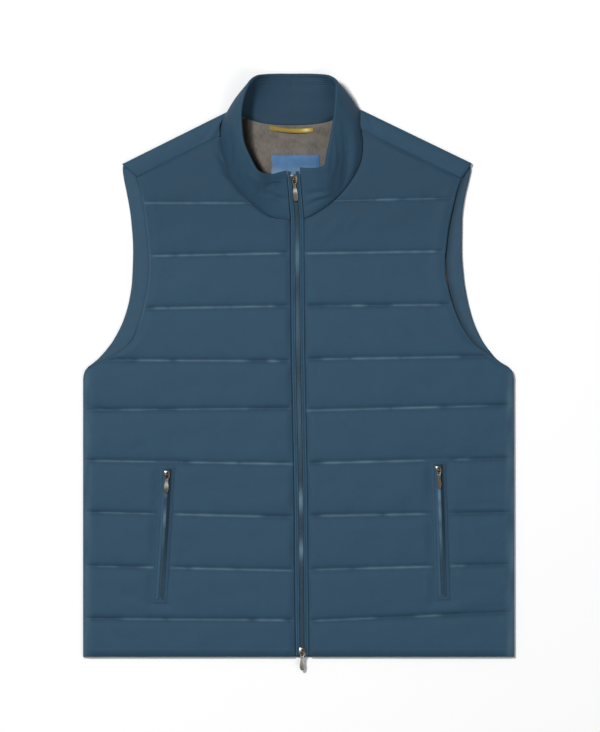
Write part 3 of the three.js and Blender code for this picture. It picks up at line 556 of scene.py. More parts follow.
def quilted(side, out, y, share, sizes):
    """A front's thickness by its channels and seams, and the painted highlight and painted shade along
    these.
    """
    lines = quilt_heights(side, share)
    channel = np.clip((lines[1:-1] <= y).sum(axis=0), 0, QUILT_LINE_COUNT)
    low, high = (np.take_along_axis(lines, channel[None] + step, 0)[0] for step in (0, 1))
    part = np.clip((y - low) / (high - low), 0, 1)
    x, from_zip, from_side = SIGN[side] * out, out - front_inner(side, y), front_outer(side, y) - out
    fade = np.minimum(ease_step(-2, 9, from_zip), ease_step(-2, 14, from_side))
    swell = (1 - np.abs(2 * part - 1) ** sizes.crown_flatness) ** 0.8
    wall = FRONT_WALL + swell * np.where(channel == QUILT_LINE_COUNT, 0.75, 1) * fade * sizes.crown
    reach = ease_step(1, 7, from_zip) * ease_step(0, 8, from_side)
    gleam, shade = np.zeros((2, *np.shape(y)))
    for line in STITCHED_LINES:
        off = y - lines[line]
        near = np.abs(off) < 24
        if not near.any():
            continue
        pull = waves(out * 3, off * 0.4, 34, 100 * line + (side == "left")) * np.exp(-np.abs(off) / 6)
        groove = sizes.groove_depth * hump(off, sizes.groove_width)
        wall = wall - near * reach * (groove - sizes.pucker * pull)
        # Painted highlight along the line, and painted shade in the dips on either side of it
        shine = line_gleam(side, line, out)
        gleam = np.maximum(gleam, near * shine * hump(off, 1.6))
        beside = hump(np.abs(off) - 3.2, 2.4) * mix(0.6, 1, off > 0)
        shade = np.maximum(shade, near * reach * beside * mix(0.3, 0.6, 1 - shine))
    wall = wall + fade * sizes.slack * (waves(x, y * 1.6, 90, 5) + 0.5 * waves(x, y, 34, 6))
    return np.maximum(wall + creases(x, y, CREASES), 1.5), gleam, shade


def front_top(side, out, y, share, sizes):
    """Height of a front's quilted face, and its painted highlight and painted shade there."""
    wall, gleam, shade = quilted(side, out, y, share, sizes)
    wall = mix(wall, POCKET_WALL, pocket_seat(side, out, y, 0.25, 12))
    from_zip, from_side = out - front_inner(side, y), front_outer(side, y) - out
    below_neck, at_shoulder = y < 197, y > 257
    hem = edge_roll(y - HEM_Y, sizes.hem_roll, 0.35)
    zip_roll = edge_roll(from_zip, np.where(below_neck, 3.4, 2.6), np.where(below_neck, 0.55, 0.5))
    side_radius = np.where(y < 0, 11, np.where(at_shoulder, 1.4, 2.6))
    side_roll = edge_roll(from_side, side_radius, np.where(at_shoulder, 0.8, 0.35))
    wall = wall * np.minimum(np.minimum(hem, zip_roll), side_roll)
    # Painted highlight where the sides roll over and along the armhole edges; painted shade beside the zip,
    # along the collar seam and on the hem's rolled band, and the upper chest a little darker
    rolled = SIDE_SHINE[side] * (1 - ease_step(3, 15, from_side)) * (1 - ease_step(-10, 10, y))
    rolled = rolled * (1 + 0.6 * waves(SIGN[side] * out * 3, y, 40, 8))
    at_arm = ARMHOLE_SHINE[side] * at_armhole(y) * (1 - ease_step(0.5, 3, from_side))
    at_zip, at_neck = 0.55 * (1 - ease_step(0.5, 3.6, from_zip)), 0.7 * (1 - ease_step(1, 6, from_zip))
    at_chest, at_hem = 0.5 * ease_step(110, 230, y), 0.6 * (1 - ease_step(3, 11, y - HEM_Y))
    gleam = np.maximum.reduce([gleam, rolled, at_arm])
    shade = np.maximum.reduce([shade, np.where(y < 196, at_zip, at_neck), at_chest, at_hem])
    return front_underside(side, out, y) + wall, gleam, shade


# Meshes from points


def wall_between(outer, inner):
    """Points and faces of a closed wall between two grids of points with the same rows and columns."""
    rows, columns = outer.shape[:2]
    index = np.arange(rows * columns).reshape(rows, columns)
    top = np.stack([index[:-1, :-1], index[:-1, 1:], index[1:, 1:], index[1:, :-1]], -1).reshape(-1, 4)
    rim = np.concatenate([index[0, :-1], index[:-1, -1], index[-1, :0:-1], index[:0:-1, 0]])
    return stacked(outer, inner, top, [rim])


def ring_between(outer, inner):
    """The same between two grids whose rows are closed loops."""
    loops, count = outer.shape[:2]
    index = np.arange(loops * count).reshape(loops, count)
    after = np.roll(index, -1, axis=1)
    top = np.stack([index[:-1], after[:-1], after[1:], index[1:]], -1).reshape(-1, 4)
    return stacked(outer, inner, top, [index[0], index[-1, ::-1]])


def stacked(outer, inner, top, rims):
    """The points of both grids and all faces, with walls down the rims, turned to face outwards."""
    points = np.concatenate([outer.reshape(-1, 3), inner.reshape(-1, 3)])
    half = len(points) // 2
    faces = [top, (top + half)[:, ::-1]]
    for rim in rims:
        after = np.roll(rim, -1)
        faces.append(np.stack([after, rim, rim + half, after + half], -1))
    faces = np.concatenate(faces)
    a, b, c, d = (points[faces[:, k]] for k in range(4))
    volume = (a * (np.cross(b, c) + np.cross(c, d))).sum()
    return points, faces if volume > 0 else faces[:, ::-1]


def wall_over(x, y, top, under):
    """A closed wall over a grid in plan, between two heights at each of its points."""
    return wall_between(points_at(x, y, top), points_at(x, y, under))


def merged(parts):
    """One set of points and faces from several."""
    starts = np.cumsum([0] + [len(points) for points, _ in parts])
    faces = [faces + start for (_, faces), start in zip(parts, starts)]
    return np.concatenate([points for points, _ in parts]), np.concatenate(faces)


def add_piece(name, geometry, material, node=None, smooth=60):
    """A named piece from points in millimetres and faces, riding on the garment."""
    points, faces = geometry
    mesh = bpy.data.meshes.new(name)
    faces = [face[:3] if face[2] == face[3] else face for face in faces.tolist()]
    mesh.from_pydata((points * MM).tolist(), [], faces)
    mesh.update()
    mesh.shade_smooth()
    mesh.set_sharp_from_angle(angle=math.radians(smooth))
    mesh.materials.append(materials()[material])
    obj = bpy.data.objects.new(name, mesh)
    bpy.context.scene.collection.objects.link(obj)
    return settle(obj, GARMENT, node)


def settle(obj, body, node):
    """Makes a finished piece ride on its body and stand for its CAD node."""
    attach(obj, body)
    if node:
        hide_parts(node)
    return obj


def paint(obj, **numbers):
    """Numbers that the materials read by name, at each point, or over again for a wall's inner face."""
    for name, values in numbers.items():
        attribute = obj.data.attributes.new(name, "FLOAT", "POINT")
        values = np.resize(np.asarray(values, np.float32), len(obj.data.vertices))
        attribute.data.foreach_set("value", values)


def add_cloth(name, geometry, material, node, cloth=None, gleam=0.0, shade=0.0):
    """A painted cloth piece with a UV map in metres of cloth, in plan or from two sizes at each point."""
    obj = add_piece(name, geometry, material, node)
    sizes = geometry[0][:, :2] if cloth is None else np.stack(cloth, 1)
    layer = obj.data.uv_layers.new(name="cloth")
    corner = np.zeros(len(obj.data.loops), int)
    obj.data.loops.foreach_get("vertex_index", corner)
    layer.data.foreach_set("uv", (sizes[corner] * MM).astype(np.float32).ravel())
    paint(obj, gleam=gleam, shade=shade)
    return obj


def spaced(path, pitch, start=0.0):
    """Places along a line of points, a pitch apart, the line's direction at each, and how far along."""
    lengths = path_lengths(path)
    at = np.arange(start + pitch / 2, lengths[-1], pitch)
    behind, here, ahead = (read_along(at + step, lengths, path) for step in (-pitch / 4, 0, pitch / 4))
    return here, unit(ahead - behind), at


def copies_along(pattern, centres, runs, ups):
    """A pattern copied to each centre, its length along the run and its height along the up."""
    points, faces = pattern
    axes = np.stack([runs, np.cross(ups, runs), ups], 1)
    placed = centres[:, None] + points @ axes
    starts = np.arange(len(centres))[:, None, None] * len(points)
    return placed.reshape(-1, 3), (faces + starts).reshape(-1, faces.shape[1])


# Materials


# Metal, label and loop where they catch the light, and the lining's second thread
METAL_GLEAM = (0.8, 0.77, 0.73)
LABEL_GLEAM = (0.26, 0.43, 0.55)
LOOP_GLEAM = (0.85, 0.72, 0.3)
MELANGE_BROWN = (0.19, 0.16, 0.145)


def new_material(name, colour, roughness, metallic=0.0, sheen=0.0, specular=0.5):
    """A new material's graph, with the values that are the same all over."""
    material = bpy.data.materials.new(name)
    material.use_nodes = True
    graph = Graph(material)
    for socket, value in (
        ("Base Color", (*colour, 1)),
        ("Roughness", roughness),
        ("Metallic", metallic),
        ("Sheen Weight", sheen),
        ("Sheen Roughness", 0.4),
        ("Specular IOR Level", specular),
    ):
        graph.shader[socket].default_value = value
    return graph


class Graph:
    """Short ways to add and join a material's nodes."""

    def __init__(self, material):
        self.material = material
        self.tree = material.node_tree
        self.shader = self.tree.nodes["Principled BSDF"].inputs

    def add(self, kind, inputs=(), **settings):
        """A node with settings, and with values or other nodes' outputs in its sockets."""
        node = self.tree.nodes.new(kind)
        for name, value in settings.items():
            setattr(node, name, value)
        for name, value in dict(inputs).items():
            self.feed(node.inputs[name], value)
        return node

    def feed(self, socket, value):
        """Joins an output to a socket, or sets the socket to a value or a colour."""
        if isinstance(value, bpy.types.NodeSocket):
            self.tree.links.new(value, socket)
        elif isinstance(value, tuple) and socket.type == "RGBA":
            socket.default_value = (*value, 1)
        else:
            socket.default_value = value

    def finish(self, **sockets):
        """Joins outputs to the shader, by socket names in small letters."""
        for name, output in sockets.items():
            self.feed(self.shader[name.replace("_", " ").title()], output)

    def place(self):
        """Coordinates on the object."""
        return self.add("ShaderNodeTexCoord").outputs["Object"]

    def cloth(self):
        """Coordinates in the cloth, in metres."""
        return self.add("ShaderNodeUVMap", uv_map="cloth").outputs["UV"]

    def scaled(self, source, scale):
        """Coordinates stretched by a scale in each direction."""
        return self.add("ShaderNodeMapping", {"Scale": scale, "Vector": source}).outputs["Vector"]

    def noise(self, vector, scale, detail=2.0, roughness=0.5):
        """Soft noise from 0 to 1."""
        inputs = {"Scale": scale, "Detail": detail, "Roughness": roughness, "Vector": vector}
        return self.add("ShaderNodeTexNoise", inputs).outputs["Fac"]

    def bands(self, vector, direction, pitch):
        """Threads a pitch apart, in metres, across one direction of the cloth."""
        inputs = {"Scale": 0.314 / pitch, "Distortion": 0.4, "Detail": 0.0, "Vector": vector}
        return self.add("ShaderNodeTexWave", inputs, bands_direction=direction).outputs["Fac"]

    def math(self, operation, a, b):
        """Two numbers joined by an operation."""
        return self.add("ShaderNodeMath", {0: a, 1: b}, operation=operation).outputs[0]

    def blend(self, share, a, b):
        """One colour or the other by a share."""
        return self.add("ShaderNodeMix", {"Factor": share, 6: a, 7: b}, data_type="RGBA").outputs[2]

    def spread(self, value, low, high, new_low=0.0, new_high=1.0):
        """A value's range moved to another range."""
        inputs = {"From Min": low, "From Max": high, "To Min": new_low, "To Max": new_high, "Value": value}
        return self.add("ShaderNodeMapRange", inputs).outputs["Result"]

    def number(self, name):
        """A number painted on the piece."""
        return self.add("ShaderNodeAttribute", attribute_name=name).outputs["Fac"]

    def bump(self, height, strength, distance, under=None):
        """A surface direction raised by a height."""
        inputs = {"Strength": strength, "Distance": distance, "Height": height}
        if under is not None:
            inputs["Normal"] = under
        return self.add("ShaderNodeBump", inputs).outputs["Normal"]

    def mottled(self, colour, value, low, high, dark, light):
        """A colour that a noise makes darker and lighter."""
        return self.blend(self.spread(value, low, high), times(colour, dark), times(colour, light))


def times(colour, factor):
    """A colour made lighter or darker."""
    return tuple(min(channel * factor, 1) for channel in colour)


def woven_material(name, colour, pitch, roughness=0.6, sheen=0.1, weave=0.35, mottle=0.12, gleam=None):
    """Plain-woven cloth: two sets of threads with painted shade in their hollows, a mottled colour, and the
    painted highlight and painted shade that a piece carries.
    """
    graph = new_material(name, colour, roughness, sheen=sheen, specular=0.14)
    cloth = graph.cloth()
    threads = graph.math("MAXIMUM", graph.bands(cloth, "X", pitch), graph.bands(cloth, "Y", pitch * 0.9))
    blotches = graph.noise(cloth, 55, 4, 0.6)
    # Painted shade in the hollows between the threads
    hollow_shade = graph.mottled(colour, blotches, 0.3, 0.7, 0.72, 0.86)
    raised = graph.mottled(colour, blotches, 0.3, 0.7, 1 - mottle, 1 + mottle)
    tint = graph.blend(graph.spread(threads, 0.2, 0.9), hollow_shade, raised)
    tint = graph.blend(graph.math("MULTIPLY", graph.number("shade"), 0.4), tint, times(colour, 0.35))
    tint = graph.blend(graph.number("gleam"), tint, gleam)
    rumple = graph.bump(graph.noise(cloth, 90, 3, 0.55), 0.35, 0.0012)
    graph.finish(
        base_color=tint,
        roughness=graph.spread(blotches, 0.3, 0.7, roughness - 0.07, roughness + 0.07),
        normal=graph.bump(threads, weave, 0.00012, rumple),
    )


def melange_material(name, colour):
    """Lining knit from threads of two colours, streaked along the cloth."""
    graph = new_material(name, colour, 0.9, sheen=0.2, specular=0.2)
    cloth = graph.cloth()
    streaks = graph.noise(graph.scaled(cloth, (1, 0.4, 1)), 420, 4, 0.75)
    warm = graph.mottled(colour, streaks, 0.36, 0.64, 0.76, 1.22)
    tint = graph.blend(graph.spread(graph.noise(cloth, 60, 3), 0.35, 0.65, 0, 0.5), warm, MELANGE_BROWN)
    tint = graph.blend(graph.number("shade"), tint, times(colour, 0.1))
    threads = graph.math("MAXIMUM", graph.bands(cloth, "X", 0.0011), graph.bands(cloth, "Y", 0.0013))
    graph.finish(base_color=tint, normal=graph.bump(threads, 0.5, 0.0002))


def thread_material(name, colour, gleam):
    """Twisted sewing thread, with a painted highlight where its seam carries one."""
    graph = new_material(name, colour, 0.45, sheen=0.1)
    fibres = graph.noise(graph.place(), 2200, 1)
    tint = graph.mottled(colour, fibres, 0.3, 0.7, 0.8, 1.15)
    tint = graph.blend(graph.number("gleam"), tint, gleam)
    graph.finish(base_color=tint, normal=graph.bump(fibres, 0.3, 0.0001))


def metal_material(name, colour, roughness):
    """Cast zip metal, polished, with faint tumbling marks and painted glints where the pieces carry them.
    """
    graph = new_material(name, colour, roughness, metallic=1.0)
    where = graph.place()
    marks = graph.noise(where, 900, 4, 0.6)
    tint = graph.mottled(colour, marks, 0.35, 0.65, 0.93, 1.07)
    graph.finish(
        base_color=graph.blend(graph.number("gleam"), tint, METAL_GLEAM),
        roughness=graph.spread(marks, 0.3, 0.7, roughness - 0.03, roughness + 0.04),
        normal=graph.bump(graph.noise(where, 400, 2), 0.05, 0.0003),
    )


def nylon_material(name, colour, gleam):
    """The zip's wound nylon teeth, glossy, with painted highlights where light catches them."""
    graph = new_material(name, colour, 0.42, specular=0.3)
    where = graph.place()
    tint = graph.mottled(colour, graph.noise(where, 500, 2), 0.35, 0.65, 0.8, 1.2)
    tint = graph.blend(graph.number("gleam"), tint, gleam)
    graph.finish(base_color=tint, normal=graph.bump(graph.noise(where, 1500, 2), 0.1, 0.0001))


# Settings


def size_property(name, description, default, least):
    """A size setting in millimetres."""
    return bpy.props.FloatProperty(name=name, description=description, default=default, min=least)


def colour_property(name, description, default):
    """A colour setting."""
    return bpy.props.FloatVectorProperty(
        name=name, description=description, default=default, subtype="COLOR", min=0, max=1
    )


class VestSizes(bpy.types.PropertyGroup):
    """Sizes of the quilting and the stitching, in millimetres."""

    crown: size_property("Quilt crown", "How far a channel swells between two lines", 3.0, 0)
    crown_flatness: size_property("Crown flatness", "How flat a channel is between its seams", 4.2, 2)
    groove_depth: size_property("Groove depth", "How deep the quilting thread pulls the cloth", 0.75, 0)
    groove_width: size_property("Groove width", "Half the width of the stitched groove", 2.2, 0.5)
    pucker: size_property("Pucker", "Height of the gathers beside a quilting line", 0.28, 0)
    slack: size_property("Slack", "Height of the soft waves of the cloth as it lies", 0.45, 0)
    hem_roll: size_property("Hem roll", "Height of the rolled band at the hem", 9.0, 1)
    stitch_pitch: size_property("Stitch pitch", "Distance from one stitch to the next", 3.4, 1)
    tooth_pitch: size_property("Tooth pitch", "Distance between the zip's teeth on one side", 1.5, 0.5)


class VestColours(bpy.types.PropertyGroup):
    """Colours of the real pieces."""

    shell: colour_property("Shell", "The quilted outer cloth", (0.0262, 0.067, 0.112))
    # The gleam colour is the painted highlight on the shell cloth, its threads and the teeth
    gleam: colour_property("Gleam", "Cloth and thread where a seam is drawn tight", (0.09, 0.16, 0.215))
    lining: colour_property("Lining", "The melange lining", (0.125, 0.115, 0.1))
    tape: colour_property("Tape", "The woven zip tape", (0.021, 0.06, 0.098))
    teeth: colour_property("Teeth", "The nylon teeth", (0.026, 0.06, 0.09))
    metal: colour_property("Metal", "Sliders and pull tabs", (0.15, 0.13, 0.108))
    loop: colour_property("Loop", "The hanger loop", (0.33, 0.23, 0.04))
    label: colour_property("Label", "The bare neck label", (0.065, 0.16, 0.32))


def materials():
    """The vest's materials by name, made once."""
    if "shell_cloth" not in bpy.data.materials:
        colours = bpy.context.scene.vest_colours
        shell, gleam, tape, loop, label = (
            tuple(getattr(colours, name)) for name in ("shell", "gleam", "tape", "loop", "label")
        )
        woven_material("shell_cloth", shell, 0.0007, 0.66, 0.04, mottle=0.05, gleam=gleam)
        woven_material("tape_weave", tape, 0.0009, 0.8, 0.05, weave=0.6, gleam=times(shell, 1.3))
        woven_material("loop_twill", loop, 0.0009, 0.5, 0.2, weave=0.6, mottle=0.2, gleam=LOOP_GLEAM)
        woven_material("label_satin", label, 0.0005, 0.45, 0.2, weave=0.4, mottle=0.18, gleam=LABEL_GLEAM)
        melange_material("melange_lining", tuple(colours.lining))
        thread_material("shell_thread", times(shell, 1.15), gleam)
        thread_material("label_thread", times(label, 1.3), gleam)
        metal_material("gunmetal", tuple(colours.metal), 0.28)
        nylon_material("zip_teeth", tuple(colours.teeth), times(gleam, 1.6))
    return bpy.data.materials


# Patterns that are modelled once and copied


def deselect_all():
    """Leaves nothing selected, as after loading the frame or adding a primitive."""
    if bpy.context.object and bpy.context.object.mode == "EDIT":
        bpy.ops.object.mode_set(mode="OBJECT")
    bpy.ops.object.select_all(action="DESELECT")


@contextmanager
def edit_mode():
    """Edits the active object's mesh within a with block."""
    bpy.ops.object.mode_set(mode="EDIT")
    yield bpy.context.object
    bpy.ops.object.mode_set(mode="OBJECT")


def point_places(obj):
    """The places of a mesh's points."""
    return np.array([vertex.co for vertex in obj.data.vertices], float)


def select_where(obj, test):
    """Selects an edited mesh's points that pass a test of their places, and what lies between them."""
    bpy.ops.object.mode_set(mode="OBJECT")
    chosen = [bool(passed) for passed in test(point_places(obj))]
    obj.data.vertices.foreach_set("select", chosen)
    for part in (*obj.data.edges, *obj.data.polygons):
        part.select = all(chosen[i] for i in part.vertices)
    bpy.ops.object.mode_set(mode="EDIT")
    bpy.ops.mesh.select_mode(type="VERT")


def take_mesh(obj):
    """The points and faces of a small modelled pattern, which is then removed.

    A three-sided face holds its last point twice, so that all rows are as long.
    """
    points = point_places(obj)
    faces = np.array([(list(p.vertices) + [p.vertices[-1]])[:4] for p in obj.data.polygons])
    bpy.data.objects.remove(obj)
    return points, faces


def turn_upright_to_x():
    """Turns an edited primitive so that its axis lies along X."""
    bpy.ops.transform.rotate(value=math.pi / 2, orient_axis="Y", center_override=(0, 0, 0))


def stitch_pattern(length, width, height):
    """One stitch: a short rounded spindle along X."""
    deselect_all()
    bpy.ops.mesh.primitive_uv_sphere_add(segments=5, ring_count=4, radius=1)
    with edit_mode() as stitch:
        turn_upright_to_x()
        bpy.ops.transform.resize(value=(length / 2, width / 2, height / 2))
    return take_mesh(stitch)


def tooth_pattern(reach, thickness):
    """One tooth of wound nylon: a bar along X from the tape to just past the middle, with a fat head."""
    deselect_all()
    bpy.ops.mesh.primitive_cylinder_add(vertices=6, radius=1, depth=1, end_fill_type="TRIFAN")
    neck = reach * 0.2
    with edit_mode() as tooth:
        bpy.ops.mesh.select_all(action="SELECT")
        turn_upright_to_x()
        bpy.ops.transform.resize(value=(reach, thickness / 2, thickness))
        bpy.ops.mesh.bisect(plane_co=(neck, 0, 0), plane_no=(1, 0, 0))
        select_where(tooth, lambda places: np.abs(places[:, 0] - neck) < 1e-5)
        bpy.ops.transform.resize(value=(1, 1.35, 1.1))
    return take_mesh(tooth)


def add_stitches(name, paths, ups=None, gleams=None, material="shell_thread", pitch=None, size=(0.5, 0.4)):
    """A piece made of stitches along lines of points, of a width and height."""
    pitch = pitch or bpy.context.scene.vest_sizes.stitch_pitch
    pattern = stitch_pattern(pitch * 0.86, *size)
    parts, shine = [], []
    for k, path in enumerate(paths):
        centres, runs, at = spaced(path, pitch)
        up = np.broadcast_to([0.0, 0.0, 1.0], centres.shape)
        if ups is not None:
            up = unit(read_along(at, path_lengths(path), ups[k]))
        up = unit(up - (up * runs).sum(1)[:, None] * runs)
        parts.append(copies_along(pattern, centres, runs, up))
        value = gleams[k](centres) if gleams else np.zeros(len(centres))
        shine.append(np.repeat(value, len(pattern[0])))
    obj = add_piece(name, merged(parts), material)
    paint(obj, gleam=np.concatenate(shine))


# The pieces


# Where a front needs rows close together: at a share of its width, between two heights
FINE_ROWS = {
    "left": [(0, 196, 206), (0.64, -304, -299.5), (0.61, -122.5, -118)],
    "right": [(0, 196, 206), (0.65, -300, -295.5), (0.62, -116.5, -112)],
}
# Distances from a seam, a front's edge and its pocket's line at which points lie close together
SEAM_STEPS = np.array([0, 0.6, 1.3, 2.1, 3.1, 4.4, 6.2, 8.6])
EDGE_STEPS = np.array([0, 0.4, 0.9, 1.6, 2.6, 4.2, 6.6, 9.6])
WELT_STEPS = np.array([10.1, 10.4, 10.6, 10.8, 11.1, 12, 13.5, 15.5, 18])
ROW_SPACING = 2.8
# How far the stitches stand above the quilted face
STITCH_LIFT = 0.12


def fine_parts(side, channel):
    """Shares of a channel's height at which it needs rows close together."""
    found = []
    for share, low, high in FINE_ROWS[side]:
        bottom, top = quilt_heights(side, np.array([share]))[channel : channel + 2, 0]
        parts = (np.arange(low, high, 0.5) - bottom) / (top - bottom)
        found.extend(parts[(parts > 0) & (parts < 1)])
    return np.array(found, float)


def channel_parts(height, extra):
    """Rows across a channel as shares of its height, close together beside its seams."""
    last = SEAM_STEPS[-1]
    middle = np.arange(last + ROW_SPACING, height - last - ROW_SPACING / 2, ROW_SPACING)
    rows = np.concatenate([SEAM_STEPS, middle, height - SEAM_STEPS[::-1], extra * height])
    return np.unique(np.round(rows, 3)) / height


def front_columns(inner, outer, axis):
    """Distances out from the middle, close together at both edges and beside the pocket."""
    width = outer - inner
    scale = np.minimum(width / 240, 1)
    edge = EDGE_STEPS[:, None] * scale
    seat = np.concatenate([-WELT_STEPS[::-1], [-5, 0, 5], WELT_STEPS])[:, None] * scale
    seat = seat + np.clip((axis - inner) / width, 0.56, 0.68) * width
    before = mix(edge[-1], seat[0], np.linspace(0, 1, 52)[1:-1, None])
    after = mix(seat[-1], width - edge[-1], np.linspace(0, 1, 31)[1:-1, None])
    return inner + np.concatenate([edge, before, seat, after, width - edge[::-1]]), width


def front_panel(side, sizes):
    """One quilted front, as a wall between its plain inner face and its quilted outer face."""
    ends = quilt_heights(side, np.array([0.0, 1.0]))
    rows = []
    for channel in range(QUILT_LINE_COUNT + 1):
        low, high = ends[channel : channel + 2, 0]
        parts = channel_parts(high - low, fine_parts(side, channel))
        rows += [(channel, part) for part in (parts if channel == QUILT_LINE_COUNT else parts[:-1])]
    channels, parts = np.array(rows).T
    channels = channels.astype(int)
    at_zip, at_side = (mix(ends[channels, k], ends[channels + 1, k], parts) for k in (0, 1))
    inner = front_inner(side, at_zip)
    outer = np.maximum(front_outer(side, at_side), inner + 0.6)
    out, width = front_columns(inner, outer, pocket_axis(side, mix(at_zip, at_side, 0.6)))
    share = (out - inner) / width
    y = mix(at_zip, at_side, share)
    top, *light = front_top(side, out, y, share, sizes)
    gleam, shade = (np.stack([outer_face, 0 * outer_face]) for outer_face in light)
    wall = wall_over(SIGN[side] * out, y, top, front_underside(side, out, y))
    panel = add_cloth(f"front_panel_{side}", wall, "shell_cloth", f"front_{side}", gleam=gleam, shade=shade)


def on_front(side, out, y, sizes):
    """A line of points on a front's quilted face."""
    out, y = np.broadcast_arrays(np.asarray(out, float), np.asarray(y, float))
    top, _, _ = front_top(side, out, y, front_share(side, out, y), sizes)
    return points_at(SIGN[side] * out, y, top + STITCH_LIFT)


def split_where(keep):
    """Runs of neighbouring places that are kept, as slices."""
    edges = np.flatnonzero(np.diff(np.concatenate([[0], keep.astype(int), [0]])))
    return [slice(a, b) for a, b in zip(edges[::2], edges[1::2]) if b - a > 3]


def quilting_lines(side, sizes):
    """The lines of the quilting on a front, left out under the pocket, and how each gleams."""
    paths, gleams = [], []
    share = np.linspace(0, 1, 220)
    for line in STITCHED_LINES:
        y = quilt_heights(side, share)[line]
        inner = front_inner(side, y[0])
        out = mix(inner, front_outer(side, y[-1]), share)
        keep = (out > inner + 3) & (out < out[-1] - 2)
        over_pocket = np.abs(out - pocket_axis(side, y)) < WELT_HALF_WIDTH + 3
        level = (y < POCKET[side]["top"][1] + 4) & (y > POCKET[side]["bottom"][1] - 4)
        for part in split_where(keep & ~(over_pocket & level)):
            paths.append(on_front(side, out[part], y[part], sizes))
            gleams.append(lambda places, line=line: line_gleam(side, line, SIGN[side] * places[:, 0]))
    return paths, gleams


def front_edge_lines(side, sizes):
    """The topstitching on a front beside the zip, round the armhole and along the hem."""
    by_zip = np.linspace(HEM_Y + 3, 194, 300)
    by_arm = np.linspace(14, 252, 160)
    return [
        on_front(side, front_inner(side, by_zip) + 2.4, by_zip, sizes),
        on_front(side, front_outer(side, by_arm) - 2.6, by_arm, sizes),
        on_front(side, np.linspace(14, 276, 160), HEM_Y + sizes.hem_roll + 1.5, sizes),
    ]


class VEST_OT_fronts(bpy.types.Operator):
    """Build both quilted fronts with their quilting and edge stitches"""

    bl_idname = "vest.fronts"
    bl_label = "Quilted Fronts"

    def execute(self, context):
        sizes = context.scene.vest_sizes
        for side in SIDES:
            front_panel(side, sizes)
            paths, gleams = quilting_lines(side, sizes)
            add_stitches(f"quilting_stitches_{side}", paths, gleams=gleams, size=(0.62, 0.5))
            add_stitches(f"front_edge_stitches_{side}", front_edge_lines(side, sizes))
        return {"FINISHED"}


BACK_THICKNESS = 4
FLOOR_CLEARANCE = 0.06
# Distances in from the back's edges at which points lie close together
RIM_STEPS = np.array([0, 0.5, 1.2, 2.2, 3.6])
# Where the back's level rows end and the rows that follow its top line begin
LEVEL_TOP = 260


def spread_rows(low_y, side_inset, arm_inset, top_line):
    """A grid in plan over the back: rows from low_y up to a line of points along its top."""
    level = np.concatenate([low_y + RIM_STEPS, np.arange(low_y + 7.5, LEVEL_TOP, 5), [LEVEL_TOP]])
    at_arm = ease_step(-30, 4, level)
    left, right = (SIDE_EDGE.along(s, level) - mix(side_inset, arm_inset[s], at_arm) for s in SIDES)
    width = left[-1] + right[-1]
    across = np.concatenate([RIM_STEPS, np.linspace(7.5, width - 7.5, 116), width - RIM_STEPS[::-1]])
    x = -left[:, None] + (left + right)[:, None] * (across / width)
    upper_y = mix(LEVEL_TOP, np.interp(x[-1], *top_line.T), np.linspace(0, 1, 26)[1:, None])
    upper_x = np.broadcast_to(x[-1], upper_y.shape)
    y = np.broadcast_to(level[:, None], x.shape)
    return np.concatenate([x, upper_x]), np.concatenate([y, upper_y])


def back_level(line, x):
    """Height of a quilting line of the back, which joins the fronts' lines at the side seams."""
    left, right = (QUILT_LINES[side]["side"][line] for side in SIDES)
    return mix(left, right, (x + 280) / 560)


def edge_distance(x, y):
    """How far points of the back are in from its nearest edge."""
    left, right = (SIDE_EDGE.along(side, y) for side in SIDES)
    below_top = np.minimum.accumulate(y.max(axis=0) - y, axis=0)
    return np.maximum(np.minimum.reduce([x + left, right - x, y - HEM_Y, below_top]), 0)


def back_wall():
    """The back without its shoulder strips, quilted on the face it rests on, and its cloth sizes."""
    neck = seam_outwards(SHOULDER_STATION["left"] + 0.1, SHOULDER_STATION["right"] - 0.1, -0.4)
    ends = {}
    for side in SIDES:
        arm_corner = shoulder_point(side, STRIP_ARM_END.along(side, 0.0) - 1.5, 2)
        tip = [SIGN[side] * SIDE_EDGE.along(side, LEVEL_TOP), 267]
        ends[side] = [tip, arm_corner, shoulder_point(side, 6.0, 1.5)]
    top_line = np.vstack([*ends["left"], neck, *ends["right"][::-1]])
    x, y = spread_rows(HEM_Y, 0, {"left": 0, "right": 0}, top_line)
    inwards = edge_distance(x, y)
    roll = edge_roll(inwards, 2.2, 0)
    groove = np.max([hump(y - back_level(line, x), 3.2) for line in STITCHED_LINES], axis=0)
    under = 1.5 * (1 - roll) + 1.1 * groove * np.clip(inwards / 8, 0, 1)
    under = under + 0.12 * (1 + waves(x, y, 60, 21)) * np.clip(inwards / 20, 0, 1)
    under = np.maximum(under, FLOOR_CLEARANCE)
    points, faces = wall_over(x, y, under, BACK_THICKNESS - 1.3 * (1 - roll))
    return (points, faces), points[:, :2].T


def smooth_line(points, count):
    """A smooth curve through points, as that many points evenly apart, and the distances along it."""
    lengths = path_lengths(points)
    table = Table("s a b", np.column_stack([lengths, points]))
    at = np.linspace(0, lengths[-1], count)
    return np.stack([table.along("a", at), table.along("b", at)], 1), at


def shoulder_strip(side):
    """The strip of the back that wraps over a shoulder fold, and its cloth sizes at each point."""
    grids, cloth = [], []
    for rows, is_outer in ((STRIP_OUTER, True), (STRIP_INNER, False)):
        section, at = smooth_line(rows, 30)
        depth, height = section.T
        arm_end = STRIP_ARM_END.along(side, depth)
        neck_end = STRIP_NECK_END.along(side, depth) - 1.3
        along_fold = mix(neck_end, arm_end, np.linspace(0, 1, 60)[:, None])
        x, y = np.moveaxis(shoulder_point(side, along_fold, depth), -1, 0)
        if is_outer:
            lift = creases(x, y, STRIP_CREASES) + 0.25 * waves(x, y, 30, 31)
            height = height + ease_step(4.4, 8, height) * lift
            roll = edge_roll(arm_end - along_fold, 2.4, 0.62)
            height = mix(4.2, height, np.where(height > 4.2, roll, 1))
        grids.append(points_at(x, y, height))
        cloth.append(np.stack(np.broadcast_arrays(along_fold, at)).reshape(2, -1))
    return wall_between(*grids), np.concatenate(cloth, 1)


